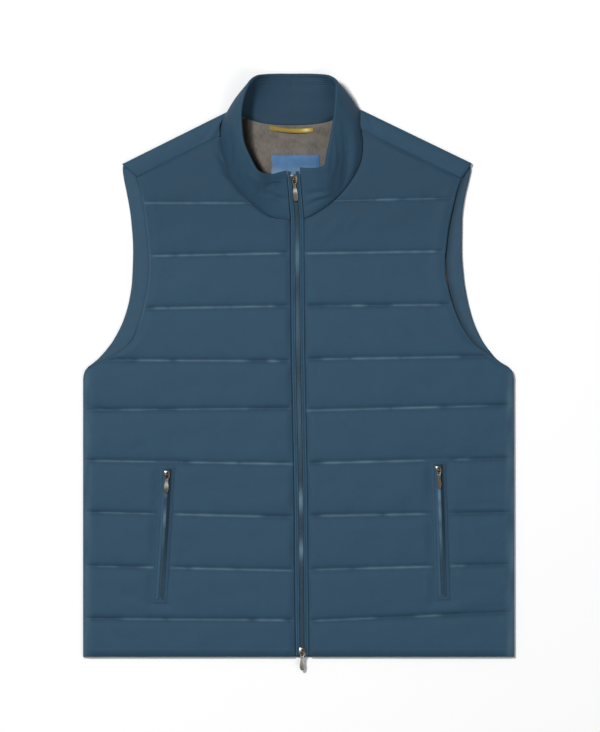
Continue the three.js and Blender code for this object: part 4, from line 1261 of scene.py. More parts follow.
class VEST_OT_back(bpy.types.Operator):
    """Build the back with the shoulder strips that wrap over to the front"""

    bl_idname = "vest.back"
    bl_label = "Back"

    def execute(self, context):
        walls, cloth = zip(back_wall(), *(shoulder_strip(side) for side in SIDES))
        cloth = np.concatenate(cloth, 1)
        back = add_cloth("back_panel", merged(walls), "shell_cloth", "back", cloth=cloth)
        span = np.linspace(-272, 272, 200)
        paths = []
        for line in STITCHED_LINES:
            level = back_level(line, span)
            edge = np.where(span < 0, SIDE_EDGE.along("left", level), SIDE_EDGE.along("right", level))
            paths.append(points_at(span, level, 0.55)[np.abs(span) < edge - 6])
        ups = [np.broadcast_to([0.0, 0.0, -1.0], path.shape) for path in paths]
        add_stitches("back_quilting_stitches", paths, ups, size=(0.7, 0.6))
        edges = []
        for side, start in (("left", 34), ("right", 20)):
            run = np.linspace(start, STRIP_ARM_END.along(side, 20.0) - 3, 60)
            edges.append(points_at(*shoulder_point(side, run, SHOULDER_STRIP - 3.2).T, 9.15))
        add_stitches("shoulder_stitches", edges)
        return {"FINISHED"}


# The left side of the collar's top edge, up from its lowest point
COLLAR_RIM = COLLAR[2:9, 3:5]
LINING_BOTTOM = BACK_THICKNESS + SEAM_GAP
# How far the painted shadow of a front's armhole edge reaches on the facing beside it, and how dark it is
FRONT_SHADOW = {"left": (3, 0.5), "right": (10, 2.3)}


def back_lining():
    """The lining of the back, with its folds in the neck, and the shade beside the collar."""
    neck = seam_outwards(SHOULDER_STATION["left"] + 0.15, SHOULDER_STATION["right"] - 0.15, -0.2)
    arm_inset = {side: FACING_WIDTH[side] + SEAM_GAP for side in SIDES}
    tips = [[SIGN[side] * (SIDE_EDGE.along(side, 260.0) - arm_inset[side]), 264] for side in SIDES]
    corners = shoulder_point("left", 30.0, 7), shoulder_point("right", 22.0, 7)
    x, y = spread_rows(-350, 13, arm_inset, np.vstack([tips[0], corners[0], neck, corners[1], tips[1]]))
    free = 1 - ease_step(60, 95, np.hypot(x + 8, (y - 300) * 0.8))
    folds = creases(x, y, LINING_CREASES)
    top = LINING_BOTTOM + 1 + free * (np.maximum(2.4 * folds, -0.7) + 0.4 * (1 + waves(x, y, 24, 41)))
    # Painted shadow on the lining beside the collar's left rim, and painted shade in the troughs of the
    # folds
    inside = np.where(y > COLLAR_RIM[0, 1], x - np.interp(y, *COLLAR_RIM.T[::-1]), 99)
    beside = 0.9 * (1 - ease_step(4.5, 10, inside)) * (y < 330)
    shade = np.maximum(beside, 0.22 * np.clip(-folds, 0, 1))
    wall = wall_over(x, y, top, LINING_BOTTOM)
    lining = add_cloth("back_lining_cloth", wall, "melange_lining", "back_lining", shade=shade)


def armhole_facing(side):
    """The strip along an armhole, with painted shadow where the front overhangs it, and its stitches."""
    width = FACING_WIDTH[side]
    y = np.linspace(6, 264, 110)[:, None]
    middle = np.linspace(5, width - 2, 6)
    inwards = np.concatenate([[0.4, 0.8, 1.5, 2.6], middle, width - np.array([0.8, 0.3, 0])])
    out = SIDE_EDGE.along(side, y) - inwards
    roll = np.minimum(edge_roll(inwards - 0.4, 1.4), edge_roll(width - inwards, 1.2))
    top = LINING_BOTTOM + roll * (1 + 0.25 * waves(out * 2, y, 18, 51))
    wall = wall_over(SIGN[side] * out, y, top, LINING_BOTTOM)
    # Painted shadow where the front's armhole edge overhangs the facing; the whole strip is also a little
    # lighter
    reach, depth = FRONT_SHADOW[side]
    shade = mix(0.25, depth, 1 - ease_step(0.5, reach, out - FRONT_ARMHOLE.along(side, y)))
    name, node = f"armhole_facing_cloth_{side}", f"armhole_facing_{side}"
    strip = add_cloth(name, wall, "shell_cloth", node, gleam=0.1, shade=shade)
    y = np.linspace(10, 257, 120)
    line = points_at(SIGN[side] * (SIDE_EDGE.along(side, y) - 3.2), y, LINING_BOTTOM + 1.12)
    add_stitches(f"armhole_stitches_{side}", [line])


class VEST_OT_lining(bpy.types.Operator):
    """Build the lining of the back and the facing strips of the armholes"""

    bl_idname = "vest.lining"
    bl_label = "Lining and Facings"

    def execute(self, context):
        back_lining()
        for side in SIDES:
            armhole_facing(side)
        return {"FINISHED"}


COLLAR_PLY = 1.6
COLLAR_HEIGHT = 66
COLLAR_STITCH_ROWS = (6, 9, 12, 15)
# Millimetres of collar from one station to the next
STATION_LENGTH = 22
# Shares of the collar's height and parts of a station at which its rims have points
RIM_SHARES = np.array([0, 0.004, 0.011, 0.022, 0.04, 0.07])
END_STATIONS = np.array([0, 0.02, 0.05, 0.1, 0.18])
# How far the inner band reaches down to close the neck where the shoulders meet it
NECK_POINT_DROP = 3.6
COLLAR_LOWEST = 1.2
DEEPEST_CREASE = -1.2


def collar_height(u):
    """The collar's height up its slope at stations u."""
    row = collar_at(u)
    return np.linalg.norm(row[..., 3:6] - row[..., 0:3], axis=-1)


def collar_surface(u, v, distance):
    """Points of the collar at stations u and shares v of its height, a distance out from its middle."""
    row, step, v = collar_at(u), collar_run(u, 0.25), v[..., None]
    normal = unit(np.cross(row[..., 3:6] - row[..., 0:3], mix(step[..., 0:3], step[..., 3:6], v)))
    swell = row[..., 6:7] * np.sin(np.pi * v)
    place = mix(row[..., 0:3], row[..., 3:6], v)
    return place + normal * (np.asarray(distance)[..., None] + swell), normal


def collar_lift(u, v, outer_face):
    """How far the collar's cloth stands off its plain form, on its outer or its inner face."""
    fade = plateau(0, 0.12, 0.9, 1, v)
    if outer_face:
        x, y, _ = np.moveaxis(collar_surface(u, v, 0)[0], -1, 0)
        lift = 1.4 * creases(x, y, COLLAR_CREASES) * mix(0.4, 1, fade)
        return np.maximum(lift + 0.4 * waves(u * 14, v * 60, 40, 61) * fade, DEEPEST_CREASE)
    down = (1 - v) * COLLAR_HEIGHT
    rows = plateau(9.6, 10.4, 15.4, 16.2, u) * sum(hump(down - row, 0.8) for row in COLLAR_STITCH_ROWS)
    centre = hump((u - CENTRE_BACK_STATION) * STATION_LENGTH, 1.4) * (1 - ease_step(14, 24, down))
    return np.maximum(0.4 * waves(u * 14, v * 60, 34, 62) * fade - 0.8 * (rows + centre), DEEPEST_CREASE)


def at_neck_points(u):
    """One where a shoulder meets the collar and zero away from it."""
    return plateau(7.6, 8.6, 10, 11.5, u) + plateau(14.5, 16, 17.4, 18.4, u)


def inner_band_shade(u, down):
    """How much painted shade the inner band has at stations and distances down from its top: over the back,
    deeper in its stitched rows and centre seam there, and strongest inside the collar's left side.
    """
    rows = sum(hump(down - row, 0.7) for row in COLLAR_STITCH_ROWS)
    centre = hump((u - CENTRE_BACK_STATION) * STATION_LENGTH, 1.2) * (down < 17)
    at_back = plateau(9.2, 10.6, 15.2, 16.6, u) * (0.9 + 0.55 * np.maximum(rows, centre))
    return np.maximum(at_back, 2.2 * plateau(1.5, 3.5, 8, 9.4, u))


def collar_band(name, sign):
    """The outer or the inner band of the collar."""
    low, near_top = np.linspace(0.1, 0.7, 18), np.arange(0.715, 0.925, 0.0125)
    shares = np.concatenate([RIM_SHARES, low, near_top, 1 - RIM_SHARES[::-1]])
    middle = np.arange(0.3, COLLAR_END - 0.2, 0.13)
    stations = np.concatenate([END_STATIONS, middle, COLLAR_END - END_STATIONS[::-1]])
    u, v = np.meshgrid(stations, shares, indexing="ij")
    up, down = v * collar_height(u), (1 - v) * collar_height(u)
    ends = edge_roll(np.minimum(u, COLLAR_END - u) * STATION_LENGTH, 1.8)
    roll = np.minimum.reduce([edge_roll(up, 2.4), edge_roll(down, 1.7), ends])
    thick = roll * (COLLAR_PLY + collar_lift(u, v, sign > 0))
    faces_of = [collar_surface(u, v, sign * (SEAM_GAP / 2 + off))[0] for off in (thick, 0)]
    points, faces = wall_between(*faces_of)
    if sign < 0:
        drop = NECK_POINT_DROP * at_neck_points(u) * (1 - ease_step(0, 0.1, v))
        points[:, 2] -= np.resize(drop, len(points))
    points[:, 2] = np.maximum(points[:, 2], COLLAR_LOWEST)
    across = np.broadcast_to(path_lengths(collar_at(stations)[:, :3])[:, None], u.shape)
    cloth = [np.resize(values, len(points)) for values in (across, up)]
    # Painted shade over the inner band, and on the outer band near its seam
    shade = inner_band_shade(u, down) if sign < 0 else 0.1 + 0.8 * (1 - ease_step(1, 7, up))
    band = add_cloth(f"{name}_cloth", (points, faces), "shell_cloth", name, cloth=cloth, shade=shade)


class VEST_OT_collar(bpy.types.Operator):
    """Build the stand collar: its outer and inner bands and their stitching"""

    bl_idname = "vest.collar"
    bl_label = "Collar"

    def execute(self, context):
        collar_band("collar_outer", 1)
        collar_band("collar_inner", -1)
        paths, ups = [], []
        # Face, distance in from an edge, first and last station, and whether that edge is the top
        rows = [(1, 2.6, 0.06, COLLAR_END - 0.06, True)]
        rows += [(-1, row, 9.9, 15.9, True) for row in COLLAR_STITCH_ROWS]
        rows += [(1, 2.4, 0.1, COLLAR_END - 0.1, False)]
        for sign, inwards, start, end, from_top in rows:
            u = np.linspace(start, end, 260)
            share = inwards / collar_height(u)
            v = 1 - share if from_top else share
            lift = collar_lift(u, v, sign > 0)
            place, normal = collar_surface(u, v, sign * (SEAM_GAP / 2 + COLLAR_PLY + lift + 0.1))
            paths.append(place)
            ups.append(normal * sign)
        add_stitches("collar_stitches", paths, ups)
        return {"FINISHED"}


FRONT_CHAIN_HALF_WIDTH = 2.6
POCKET_CHAIN_HALF_WIDTH = 2.0
TOOTH_THICKNESS = 0.85
TOOTH_CORE_DROP = 0.45
TOOTH_CORE_THICKNESS = 0.2
TAPE_HALF_THICKNESS = 0.5
# A front tape's points across it, the share of its thickness there, and where its stitches run
TAPE_ACROSS = np.array([3.0, 3.3, 4.2, 5.2, 6.2, 7.2, 8.0, 8.2])
TAPE_ROLL = np.array([0.6, 0.9, 1, 1, 1, 1, 0.9, 0.6])
TAPE_SEAM = 3.9
# How strong the painted highlight on the tapes is beside the teeth
TAPE_SHINE = {"left": 1.0, "right": 0.5}
# Where light catches the teeth, as heights, half lengths and strengths
FRONT_GLINTS = [(-167, 14, 0.8), (-231, 12, 0.8), (150, 22, 0.5), (60, 40, 0.25), (-60, 50, 0.2)]
POCKET_GLINTS = {
    "left": [(-156, 6, 0.55), (-190, 12, 0.6), (-215, 12, 0.2)],
    "right": [(-160, 14, 0.8), (-182, 16, 0.7), (-210, 22, 0.4)],
}


def zip_line(y, side_shift=0.0, lift=0.0):
    """Points along the front zip, moved to a side and up."""
    return points_at(ZIP_LINE.along("x", y) + side_shift, y, ZIP_LINE.along("z", y) + lift)


def add_teeth(name, node, centre_line, half_width, places):
    """Both sides' teeth along a line, reaching past the middle in turn, over their woven core."""
    pitch = bpy.context.scene.vest_sizes.tooth_pitch
    pattern = tooth_pattern(half_width + 0.5, TOOTH_THICKNESS)
    _, runs, _ = spaced(centre_line, pitch)
    sideways = unit(np.cross(runs.mean(axis=0), [0, 0, 1.0]))
    across = sideways * np.linspace(-half_width, half_width, 5)[:, None]
    core = centre_line[:, None] + across - [0, 0, TOOTH_CORE_DROP]
    parts = [wall_between(core, core - [0, 0, TOOTH_CORE_THICKNESS])]
    for sign in (-1, 1):
        centres, runs, _ = spaced(centre_line, pitch, start=pitch / 2 if sign > 0 else 0)
        ups = unit(np.cross(np.cross(runs, [0, 0, 1.0]), runs))
        outwards = np.cross(runs, ups) * sign
        parts.append(copies_along(pattern, centres + outwards * (half_width - 0.5) / 2, -outwards, ups))
    points, faces = merged(parts)
    chain = add_piece(name, (points, faces), "zip_teeth", node, smooth=80)
    # Painted glints where light catches the teeth
    light = [strength * hump(points[:, 1] - at, half) for at, half, strength in places]
    paint(chain, gleam=np.max(light, axis=0))


class VEST_OT_front_zip(bpy.types.Operator):
    """Build the front zip: its two tapes and its teeth"""

    bl_idname = "vest.front_zip"
    bl_label = "Front Zip"

    def execute(self, context):
        y = np.concatenate([np.linspace(HEM_Y + 2, 180, 140), np.linspace(184, 260.5, 30)])[:, None]
        z = ZIP_LINE.along("z", y)
        thick = TAPE_HALF_THICKNESS * TAPE_ROLL
        # Painted shade across the tapes' outer part, and painted highlight along the stitch row and at the
        # outer edge
        dark = 0.25 * plateau(4.4, 5.4, 6.2, 7.6, TAPE_ACROSS)
        for side in SIDES:
            x = ZIP_LINE.along("x", y) + SIGN[side] * TAPE_ACROSS
            ridge = 0.25 * hump(TAPE_ACROSS - TAPE_SEAM, 0.5) + 0.06 * waves(x * 2, y, 15, 71)
            strip = hump(TAPE_ACROSS - TAPE_SEAM, 0.8) * (0.6 + 0.4 * waves(x, y, 30, 72))
            light = np.maximum(TAPE_SHINE[side] * strip, ease_step(6.2, 7.6, TAPE_ACROSS))
            wall = wall_over(x, y, z + thick + ridge, z - thick)
            name, node = f"front_zip_tape_cloth_{side}", f"front_zip_tape_{side}"
            add_cloth(name, wall, "tape_weave", node, gleam=light, shade=dark)
            lines = [zip_line(np.linspace(HEM_Y + 5, 258, 200), SIGN[side] * TAPE_SEAM, 0.75)]
            add_stitches(f"zip_tape_stitches_{side}", lines, pitch=2.4, size=(0.45, 0.35))
        line = zip_line(np.linspace(-364.5, 251.5, 400))
        add_teeth("front_zip_teeth", "front_zip_chain", line, FRONT_CHAIN_HALF_WIDTH, FRONT_GLINTS)
        return {"FINISHED"}


SLIDER_SIZE = {
    "front": {"half_length": 5.4, "nose": 4.5, "tail": 3.7, "plate_in": 1.35, "plate_out": 2.4},
    "pocket": {"half_length": 4.6, "nose": 3.7, "tail": 3.1, "plate_in": 1.2, "plate_out": 2.15},
}
BAIL_HALF_LENGTH = 2.8
BAIL_HEIGHT = 4.3
BAIL_RADIUS = 0.6
FLANGE_THICKNESS = 0.8
FLANGE_START = 0.75
POST_RADIUS = 0.9
PIVOT_HEIGHT = 1.8
TAB_THICKNESS = 1.5
# A tab's levels along it from its pivot, and half its width there
TAB_ROWS = {
    "long": [
        (0.75, 2.4),
        (-0.75, 3),
        (-5.4, 3),
        (-8.75, 2),
        (-12.25, 2.2),
        (-18.25, 3.4),
        (-24.25, 3.6),
        (-27.75, 2.9),
        (-29.5, 1.5),
    ],
    "short": [
        (0.75, 2.3),
        (-0.75, 2.9),
        (-5.4, 2.7),
        (-8.25, 1.8),
        (-12.25, 2.3),
        (-16.75, 3.1),
        (-20.75, 3.1),
        (-23.25, 2.3),
        (-24.5, 1.2),
    ],
}
# The tab's eye, and how far off its shaped levels wait while the others are shaped
EYE_HALF_WIDTH = 1.5
EYE_TOP, EYE_BOTTOM = -0.75, -5.4
WAITING = 100
# Where pull tabs mirror the light: place along the tab, half length and strength
TAB_GLINTS = {
    "front_top": (-15, 2.4, 0.7),
    "front_bottom": (-11, 9, 0.42),
    "pocket_left": (-13, 4, 0.85),
    "pocket_right": (-5, 2, 0.3),
}
NO_GLINT = (0, 1, 0)
TOP_SLIDER_Y = 251.0
BOTTOM_SLIDER_Y = -363.7
# How far a pocket's slider stands below the opening's upper end
POCKET_SLIDER_DROP = 6.2


def finish_with(obj, **modifiers):
    """Adds modifiers by type and settings and applies them."""
    bpy.context.view_layer.objects.active = obj
    for kind, settings in modifiers.items():
        modifier = obj.modifiers.new(kind, kind)
        for name, value in settings.items():
            setattr(modifier, name, value)
        bpy.ops.object.modifier_apply(modifier=modifier.name)
    return obj


def slider_plate(size, level):
    """A slider's upper or lower plate, wide at the nose and narrower at the tail."""
    half_length, nose, tail = (size[k] * MM for k in ("half_length", "nose", "tail"))
    bpy.ops.mesh.primitive_cube_add(size=1, location=(0, 0, 0))
    with edit_mode() as plate:
        thickness = (size["plate_out"] - size["plate_in"]) * MM
        bpy.ops.transform.resize(value=(2 * nose, 2 * half_length, thickness))
        bpy.ops.mesh.bisect(plane_co=(0, half_length * 0.3, 0), plane_no=(0, 1, 0))
        select_where(plate, lambda places: places[:, 1] < -half_length * 0.9)
        bpy.ops.transform.resize(value=(tail / nose, 1, 1))
        bpy.ops.mesh.select_all(action="SELECT")
        bpy.ops.transform.translate(value=(0, 0, level))
    return finish_with(plate, BEVEL={"width": 0.35 * MM, "segments": 2, "limit_method": "ANGLE"})


def slider_flange(size, sign):
    """The turned edge down one side of a slider's upper plate."""
    half_length, tail, inside = (size[k] for k in ("half_length", "tail", "plate_in"))
    bpy.ops.mesh.primitive_cube_add(size=1, location=(0, 0, 0))
    with edit_mode() as flange:
        lengths = (FLANGE_THICKNESS, 1.15 * half_length, inside - FLANGE_START)
        bpy.ops.transform.resize(value=[length * MM for length in lengths])
        place = (sign * (tail - 0.1), -0.3 * half_length, (inside + FLANGE_START) / 2)
        bpy.ops.transform.translate(value=[along * MM for along in place])
    return finish_with(flange, BEVEL={"width": 0.2 * MM, "segments": 2})


def slider_bail(size):
    """The arch over a slider that its tab hangs from."""
    bpy.ops.mesh.primitive_torus_add(
        major_segments=36,
        minor_segments=12,
        major_radius=BAIL_HALF_LENGTH * MM,
        minor_radius=BAIL_RADIUS * MM,
    )
    with edit_mode() as bail:
        turn_upright_to_x()
        bpy.ops.mesh.bisect(
            plane_co=(0, 0, -0.4 * MM), plane_no=(0, 0, 1), clear_inner=True, use_fill=True
        )
        bpy.ops.mesh.select_all(action="SELECT")
        stretch = BAIL_HEIGHT / (BAIL_HALF_LENGTH + BAIL_RADIUS)
        bpy.ops.transform.resize(value=(1.5, 1, stretch), center_override=(0, 0, 0))
        bpy.ops.transform.translate(value=(0, 0, size["plate_out"] * MM))
    return bail


def slider_body(name, size):
    """A slider at the origin, nose towards +Y: two plates with turned edges, a post and a bail."""
    deselect_all()
    middle = (size["plate_out"] + size["plate_in"]) / 2 * MM
    parts = [slider_plate(size, level) for level in (middle, -middle)]
    parts += [slider_flange(size, sign) for sign in (-1, 1)]
    bpy.ops.mesh.primitive_cylinder_add(vertices=12, radius=POST_RADIUS * MM, depth=2 * middle)
    with edit_mode() as post:
        bpy.ops.transform.translate(value=(0, (size["half_length"] - 1.6) * MM, 0))
    return joined(name, [*parts, post, slider_bail(size)])


def joined(name, parts):
    """Several modelled parts as one, with its edges smooth where they are rounded."""
    deselect_all()
    for part in parts:
        part.select_set(True)
    bpy.context.view_layer.objects.active = parts[0]
    if len(parts) > 1:
        bpy.ops.object.join()
    obj = bpy.context.object
    obj.name = obj.data.name = name
    bpy.ops.object.shade_smooth_by_angle(angle=math.radians(40))
    obj.data.materials.clear()
    obj.data.materials.append(materials()["gunmetal"])
    return obj


def pull_tab(name, rows):
    """A pull tab hanging towards -Y from its pivot at the origin, with an eye, a waist and a thick end."""
    deselect_all()
    bpy.ops.mesh.primitive_grid_add(x_subdivisions=4, y_subdivisions=len(rows) - 1, size=2)
    levels = np.unique(point_places(bpy.context.object)[:, 1].round(5))[::-1]
    with edit_mode() as tab:
        for start, (y, half) in zip(levels, rows):
            select_where(tab, lambda places, start=start: np.abs(places[:, 1] - start) < 1e-3)
            bpy.ops.transform.resize(value=(half, 1, 1), center_override=(0, start, 0))
            bpy.ops.transform.translate(value=(0, y - start + WAITING, 0))
        bpy.ops.mesh.select_all(action="SELECT")
        bpy.ops.transform.translate(value=(0, -WAITING, 0))
        bpy.ops.mesh.select_mode(type="FACE")
        bpy.ops.object.mode_set(mode="OBJECT")
        for face in tab.data.polygons:
            x, y, _ = face.center
            face.select = abs(x) < EYE_HALF_WIDTH and EYE_BOTTOM < y < EYE_TOP
        bpy.ops.object.mode_set(mode="EDIT")
        bpy.ops.mesh.delete(type="FACE")
        bpy.ops.mesh.select_all(action="SELECT")
        bpy.ops.transform.resize(value=(MM, MM, MM), center_override=(0, 0, 0))
    finish_with(
        tab,
        SOLIDIFY={"thickness": TAB_THICKNESS * MM, "offset": 0.0},
        BEVEL={"width": 0.35 * MM, "segments": 2, "limit_method": "ANGLE"},
        SUBSURF={"levels": 1, "render_levels": 1},
    )
    return joined(name, [tab])


def place_hard_piece(pattern, name, matrix, body, node, glint=NO_GLINT):
    """A copy of a modelled hard piece with its own mesh, put in its place in the mesh."""
    obj = bpy.data.objects.new(name, pattern.data.copy())
    at, half, strength = glint
    # Painted glint where a tab mirrors the light; none on the slider bodies
    paint(obj, gleam=strength * hump(point_places(obj)[:, 1] / MM - at, half))
    obj.data.transform(matrix)
    bpy.context.scene.collection.objects.link(obj)
    settle(obj, body, node)


def slider_place(at, turn=0.0, slope=0.0):
    """Where a slider stands: its centre in millimetres, its turn in plan and its slope."""
    place = Matrix.Translation(Vector(at) * MM)
    return place @ Matrix.Rotation(turn, 4, "Z") @ Matrix.Rotation(slope, 4, "X")


def pocket_place(side):
    """The frame of a pocket: its lower end at the origin and its length along +Y."""
    upper, lower = ([SIGN[side], 1] * POCKET[side][end] for end in ("top", "bottom"))
    turn = math.atan2(lower[0] - upper[0], upper[1] - lower[1])
    return lower, turn, float(np.linalg.norm(upper - lower))


def slider_places():
    """Each slider's place, how far its tab droops in degrees, its size and its tab's form."""
    drift, rise = (
        float(ZIP_LINE.along(axis, TOP_SLIDER_Y + 6) - ZIP_LINE.along(axis, TOP_SLIDER_Y - 6))
        for axis in ("x", "z")
    )
    lean, slope = math.atan2(-drift, 12), math.atan2(rise, 12)
    places = {
        "front_top": (slider_place(zip_line(TOP_SLIDER_Y), lean, slope), 3.5, "front", "long"),
        "front_bottom": (slider_place(zip_line(BOTTOM_SLIDER_Y)), 9.0, "front", "short"),
    }
    for side in SIDES:
        lower, turn, length = pocket_place(side)
        up = (0, (length - WELT_END_BAR - POCKET_SLIDER_DROP) * MM, POCKET_ZIP_Z * MM)
        place = slider_place((*lower, 0), turn) @ Matrix.Translation(up)
        places[f"pocket_{side}"] = (place, 3.5, "pocket", "short")
    return places


class VEST_OT_sliders(bpy.types.Operator):
    """Build the four zip sliders and their pull tabs"""

    bl_idname = "vest.sliders"
    bl_label = "Sliders and Pull Tabs"

    def execute(self, context):
        bodies = {kind: slider_body(f"slider_pattern_{kind}", size) for kind, size in SLIDER_SIZE.items()}
        tabs = {form: pull_tab(f"tab_pattern_{form}", rows) for form, rows in TAB_ROWS.items()}
        for name, (place, droop, kind, form) in slider_places().items():
            zip_name, _, end = name.partition("_")
            turned = Matrix.Rotation(math.pi if end == "bottom" else 0.0, 4, "Z")
            body_name, slider = f"{zip_name}_slider_body_{end}", f"{zip_name}_slider_{end}"
            place_hard_piece(bodies[kind], body_name, place @ turned, GARMENT, slider)
            lift = Matrix.Translation((0, 0, (SLIDER_SIZE[kind]["plate_out"] + PIVOT_HEIGHT) * MM))
            tilt = Matrix.Rotation(math.radians(droop), 4, "X")
            tab_name, pull = f"{zip_name}_pull_tab_{end}", f"{zip_name}_pull_{end}"
            place_hard_piece(tabs[form], tab_name, place @ lift @ tilt, pull, pull, TAB_GLINTS[name])
        for pattern in (*bodies.values(), *tabs.values()):
            bpy.data.objects.remove(pattern)
        return {"FINISHED"}


WELT_OPENING_HALF = 5.2
WELT_THICKNESS = 1.55
WELT_END_BAR = 5
POCKET_ZIP_Z = 9.7
WELT_SEAT_Z = FRONT_UNDERSIDE + POCKET_WALL + 0.05


def pocket_shade_along(y):
    """How strong the painted shade on a pocket's right side is along its length: less towards its lower
    end.
    """
    return mix(0.15, 1, ease_step(20, 110, y))


def rounded_loop(half_width, low, high, corner, per_side=40):
    """Points in plan round a rectangle with rounded corners, the same number whatever its size."""
    half_height, centre = (high - low) / 2 - corner, (high + low) / 2
    points = []
    for quarter, (sx, sy) in enumerate(((1, 1), (-1, 1), (-1, -1), (1, -1))):
        angle = np.linspace(0, np.pi / 2, 7) + quarter * np.pi / 2
        middle = np.array([sx * (half_width - corner), centre + sy * half_height])
        points.extend(middle + corner * np.stack([np.cos(angle), np.sin(angle)], 1))
        if quarter % 2:
            end = np.array([sx * half_width, centre - sy * half_height])
            points.extend(mix(points[-1], end, np.linspace(0, 1, per_side + 2)[1:-1, None]))
    return np.array(points)


def placed_on_pocket(points, side):
    """Points in a pocket's own frame, moved to its place."""
    lower, turn, _ = pocket_place(side)
    x, y, z = points.T
    c, s = math.cos(turn), math.sin(turn)
    return points_at(lower[0] + c * x - s * y, lower[1] + s * x + c * y, z)


def pocket_welt(side, length):
    """The folded lips round a pocket opening, as a ring that is higher along its middle."""
    tops, unders = [], []
    for share in (0, 0.06, 0.16, 0.3, 0.5, 0.7, 0.84, 0.94, 1):
        half, bar = mix(WELT_OPENING_HALF, WELT_HALF_WIDTH, share), mix(WELT_END_BAR, 0, share)
        x, y = rounded_loop(half, bar, length - bar, mix(0.6, 1.6, share)).T
        inner_fold = mix(np.where(x > 0, 0.35, 0.85), 1, 1 - abs(2 * share - 1) ** 2.4)
        height = inner_fold if share < 0.5 else mix(1, 0.05, ease_step(0.5, 1, share))
        height = height * WELT_THICKNESS * mix(0.55, 1, ease_step(0, 45, y))
        wave = 0.16 * waves(x * 2, y, 16, 81) * (0 < share < 1)
        tops.append(points_at(x, y, WELT_SEAT_Z + height + wave))
        unders.append(points_at(x, y, WELT_SEAT_Z))
    points, faces = ring_between(np.array(tops), np.array(unders))
    x, y, _ = points.T
    # Painted shade on the right lip, less towards the lower end
    shade = 1.3 * plateau(2, 5, 6, 9, x) * pocket_shade_along(y)
    ring = placed_on_pocket(points, side), faces
    name, node = f"pocket_welt_cloth_{side}", f"pocket_welt_{side}"
    welt = add_cloth(name, ring, "shell_cloth", node, cloth=(x, y), shade=shade)


def pocket_tapes(side, low, high):
    """The two halves of a pocket's zip tape, with a painted highlight on the left half and painted shade on
    the right.
    """
    tapes = []
    y = np.linspace(low, high, 70)[:, None]
    for sign in (-1, 1):
        x = sign * np.array([2.1, 2.4, 3.1, 3.8, 4.6, 5.1])
        z = POCKET_ZIP_Z + 0.04 * waves(x, y, 12, 91)
        tapes.append(wall_over(x, y, z + TAPE_HALF_THICKNESS, z - TAPE_HALF_THICKNESS))
    points, faces = merged(tapes)
    x, y, _ = points.T
    halves = placed_on_pocket(points, side), faces
    light, dark = 0.8 * ease_step(1, -1, x), 2.2 * ease_step(-1, 1, x) * pocket_shade_along(y)
    name, node = f"pocket_zip_tape_cloth_{side}", f"pocket_zip_tape_{side}"
    add_cloth(name, halves, "tape_weave", node, cloth=(x, y), gleam=light, shade=dark)


class VEST_OT_pockets(bpy.types.Operator):
    """Build the two zipped pockets: welts, tapes, teeth and stitching"""

    bl_idname = "vest.pockets"
    bl_label = "Pockets"

    def execute(self, context):
        for side in SIDES:
            _, _, length = pocket_place(side)
            low, high = WELT_END_BAR + SEAM_GAP, length - WELT_END_BAR - SEAM_GAP
            pocket_welt(side, length)
            pocket_tapes(side, low, high)
            middle = points_at(0.0, np.linspace(low + 3, high - 6.5, 120), POCKET_ZIP_Z)
            line = placed_on_pocket(middle, side)
            name, node = f"pocket_zip_teeth_{side}", f"pocket_zip_chain_{side}"
            add_teeth(name, node, line, POCKET_CHAIN_HALF_WIDTH, POCKET_GLINTS[side])
            loop = rounded_loop(WELT_HALF_WIDTH - 1.6, 1.6, length - 1.6, 1.2)
            loop = np.vstack([loop, loop[:1]])
            paths = [points_at(*loop.T, WELT_SEAT_Z + WELT_THICKNESS * 0.86)]
            paths += [points_at(np.linspace(-6.5, 6.5, 12), level, 10.3) for level in (2.6, length - 2.6)]
            paths = [placed_on_pocket(path, side) for path in paths]
            add_stitches(f"pocket_stitches_{side}", paths, pitch=2.8)
        return {"FINISHED"}


LOOP_WIDTH = 6.5
# Points across the loop's tape, from its upper edge
LOOP_ACROSS = np.array([0, 0.3, 0.9, 1.8, 3.2, 4.6, 5.6, 6.2, 6.5])
LABEL = {"left": -36, "right": 27.5, "low": 251, "high": 282.5}
LABEL_BOTTOM = 6.0


def hanger_loop():
    """The loop's tape, sewn in at both ends of its arch, with a kink near its right end."""
    share = np.linspace(0, 1, 60)[:, None]
    down = LOOP_ACROSS
    hang = np.sin(np.pi * share)
    y = 321.2 - 3 * hang**0.8 - 3 * share - down * (1 - 0.1 * hang)
    base = 5.8 + 3.5 * hang + 0.9 * np.sin(np.pi * down / LOOP_WIDTH) * hang
    base = base + 1.1 * hump(share - 0.86, 0.07) * (1 - down / LOOP_WIDTH)
    roll = np.minimum(edge_roll(down, 0.6), edge_roll(LOOP_WIDTH - down, 0.6))
    wall = wall_over(mix(-38, 19, share), y, base + 1.1 * roll, base)
    # Painted highlight near the right end, and painted shade over the left part under the collar
    light = 0.8 * hump(share - 0.85, 0.09) * hump(down - 2.6, 1.8)
    dark = np.broadcast_to(1.1 * (1 - ease_step(0, 0.7, share)), base.shape)
    add_cloth("hanger_loop_tape", wall, "loop_twill", "hanger_loop", gleam=light, shade=dark)


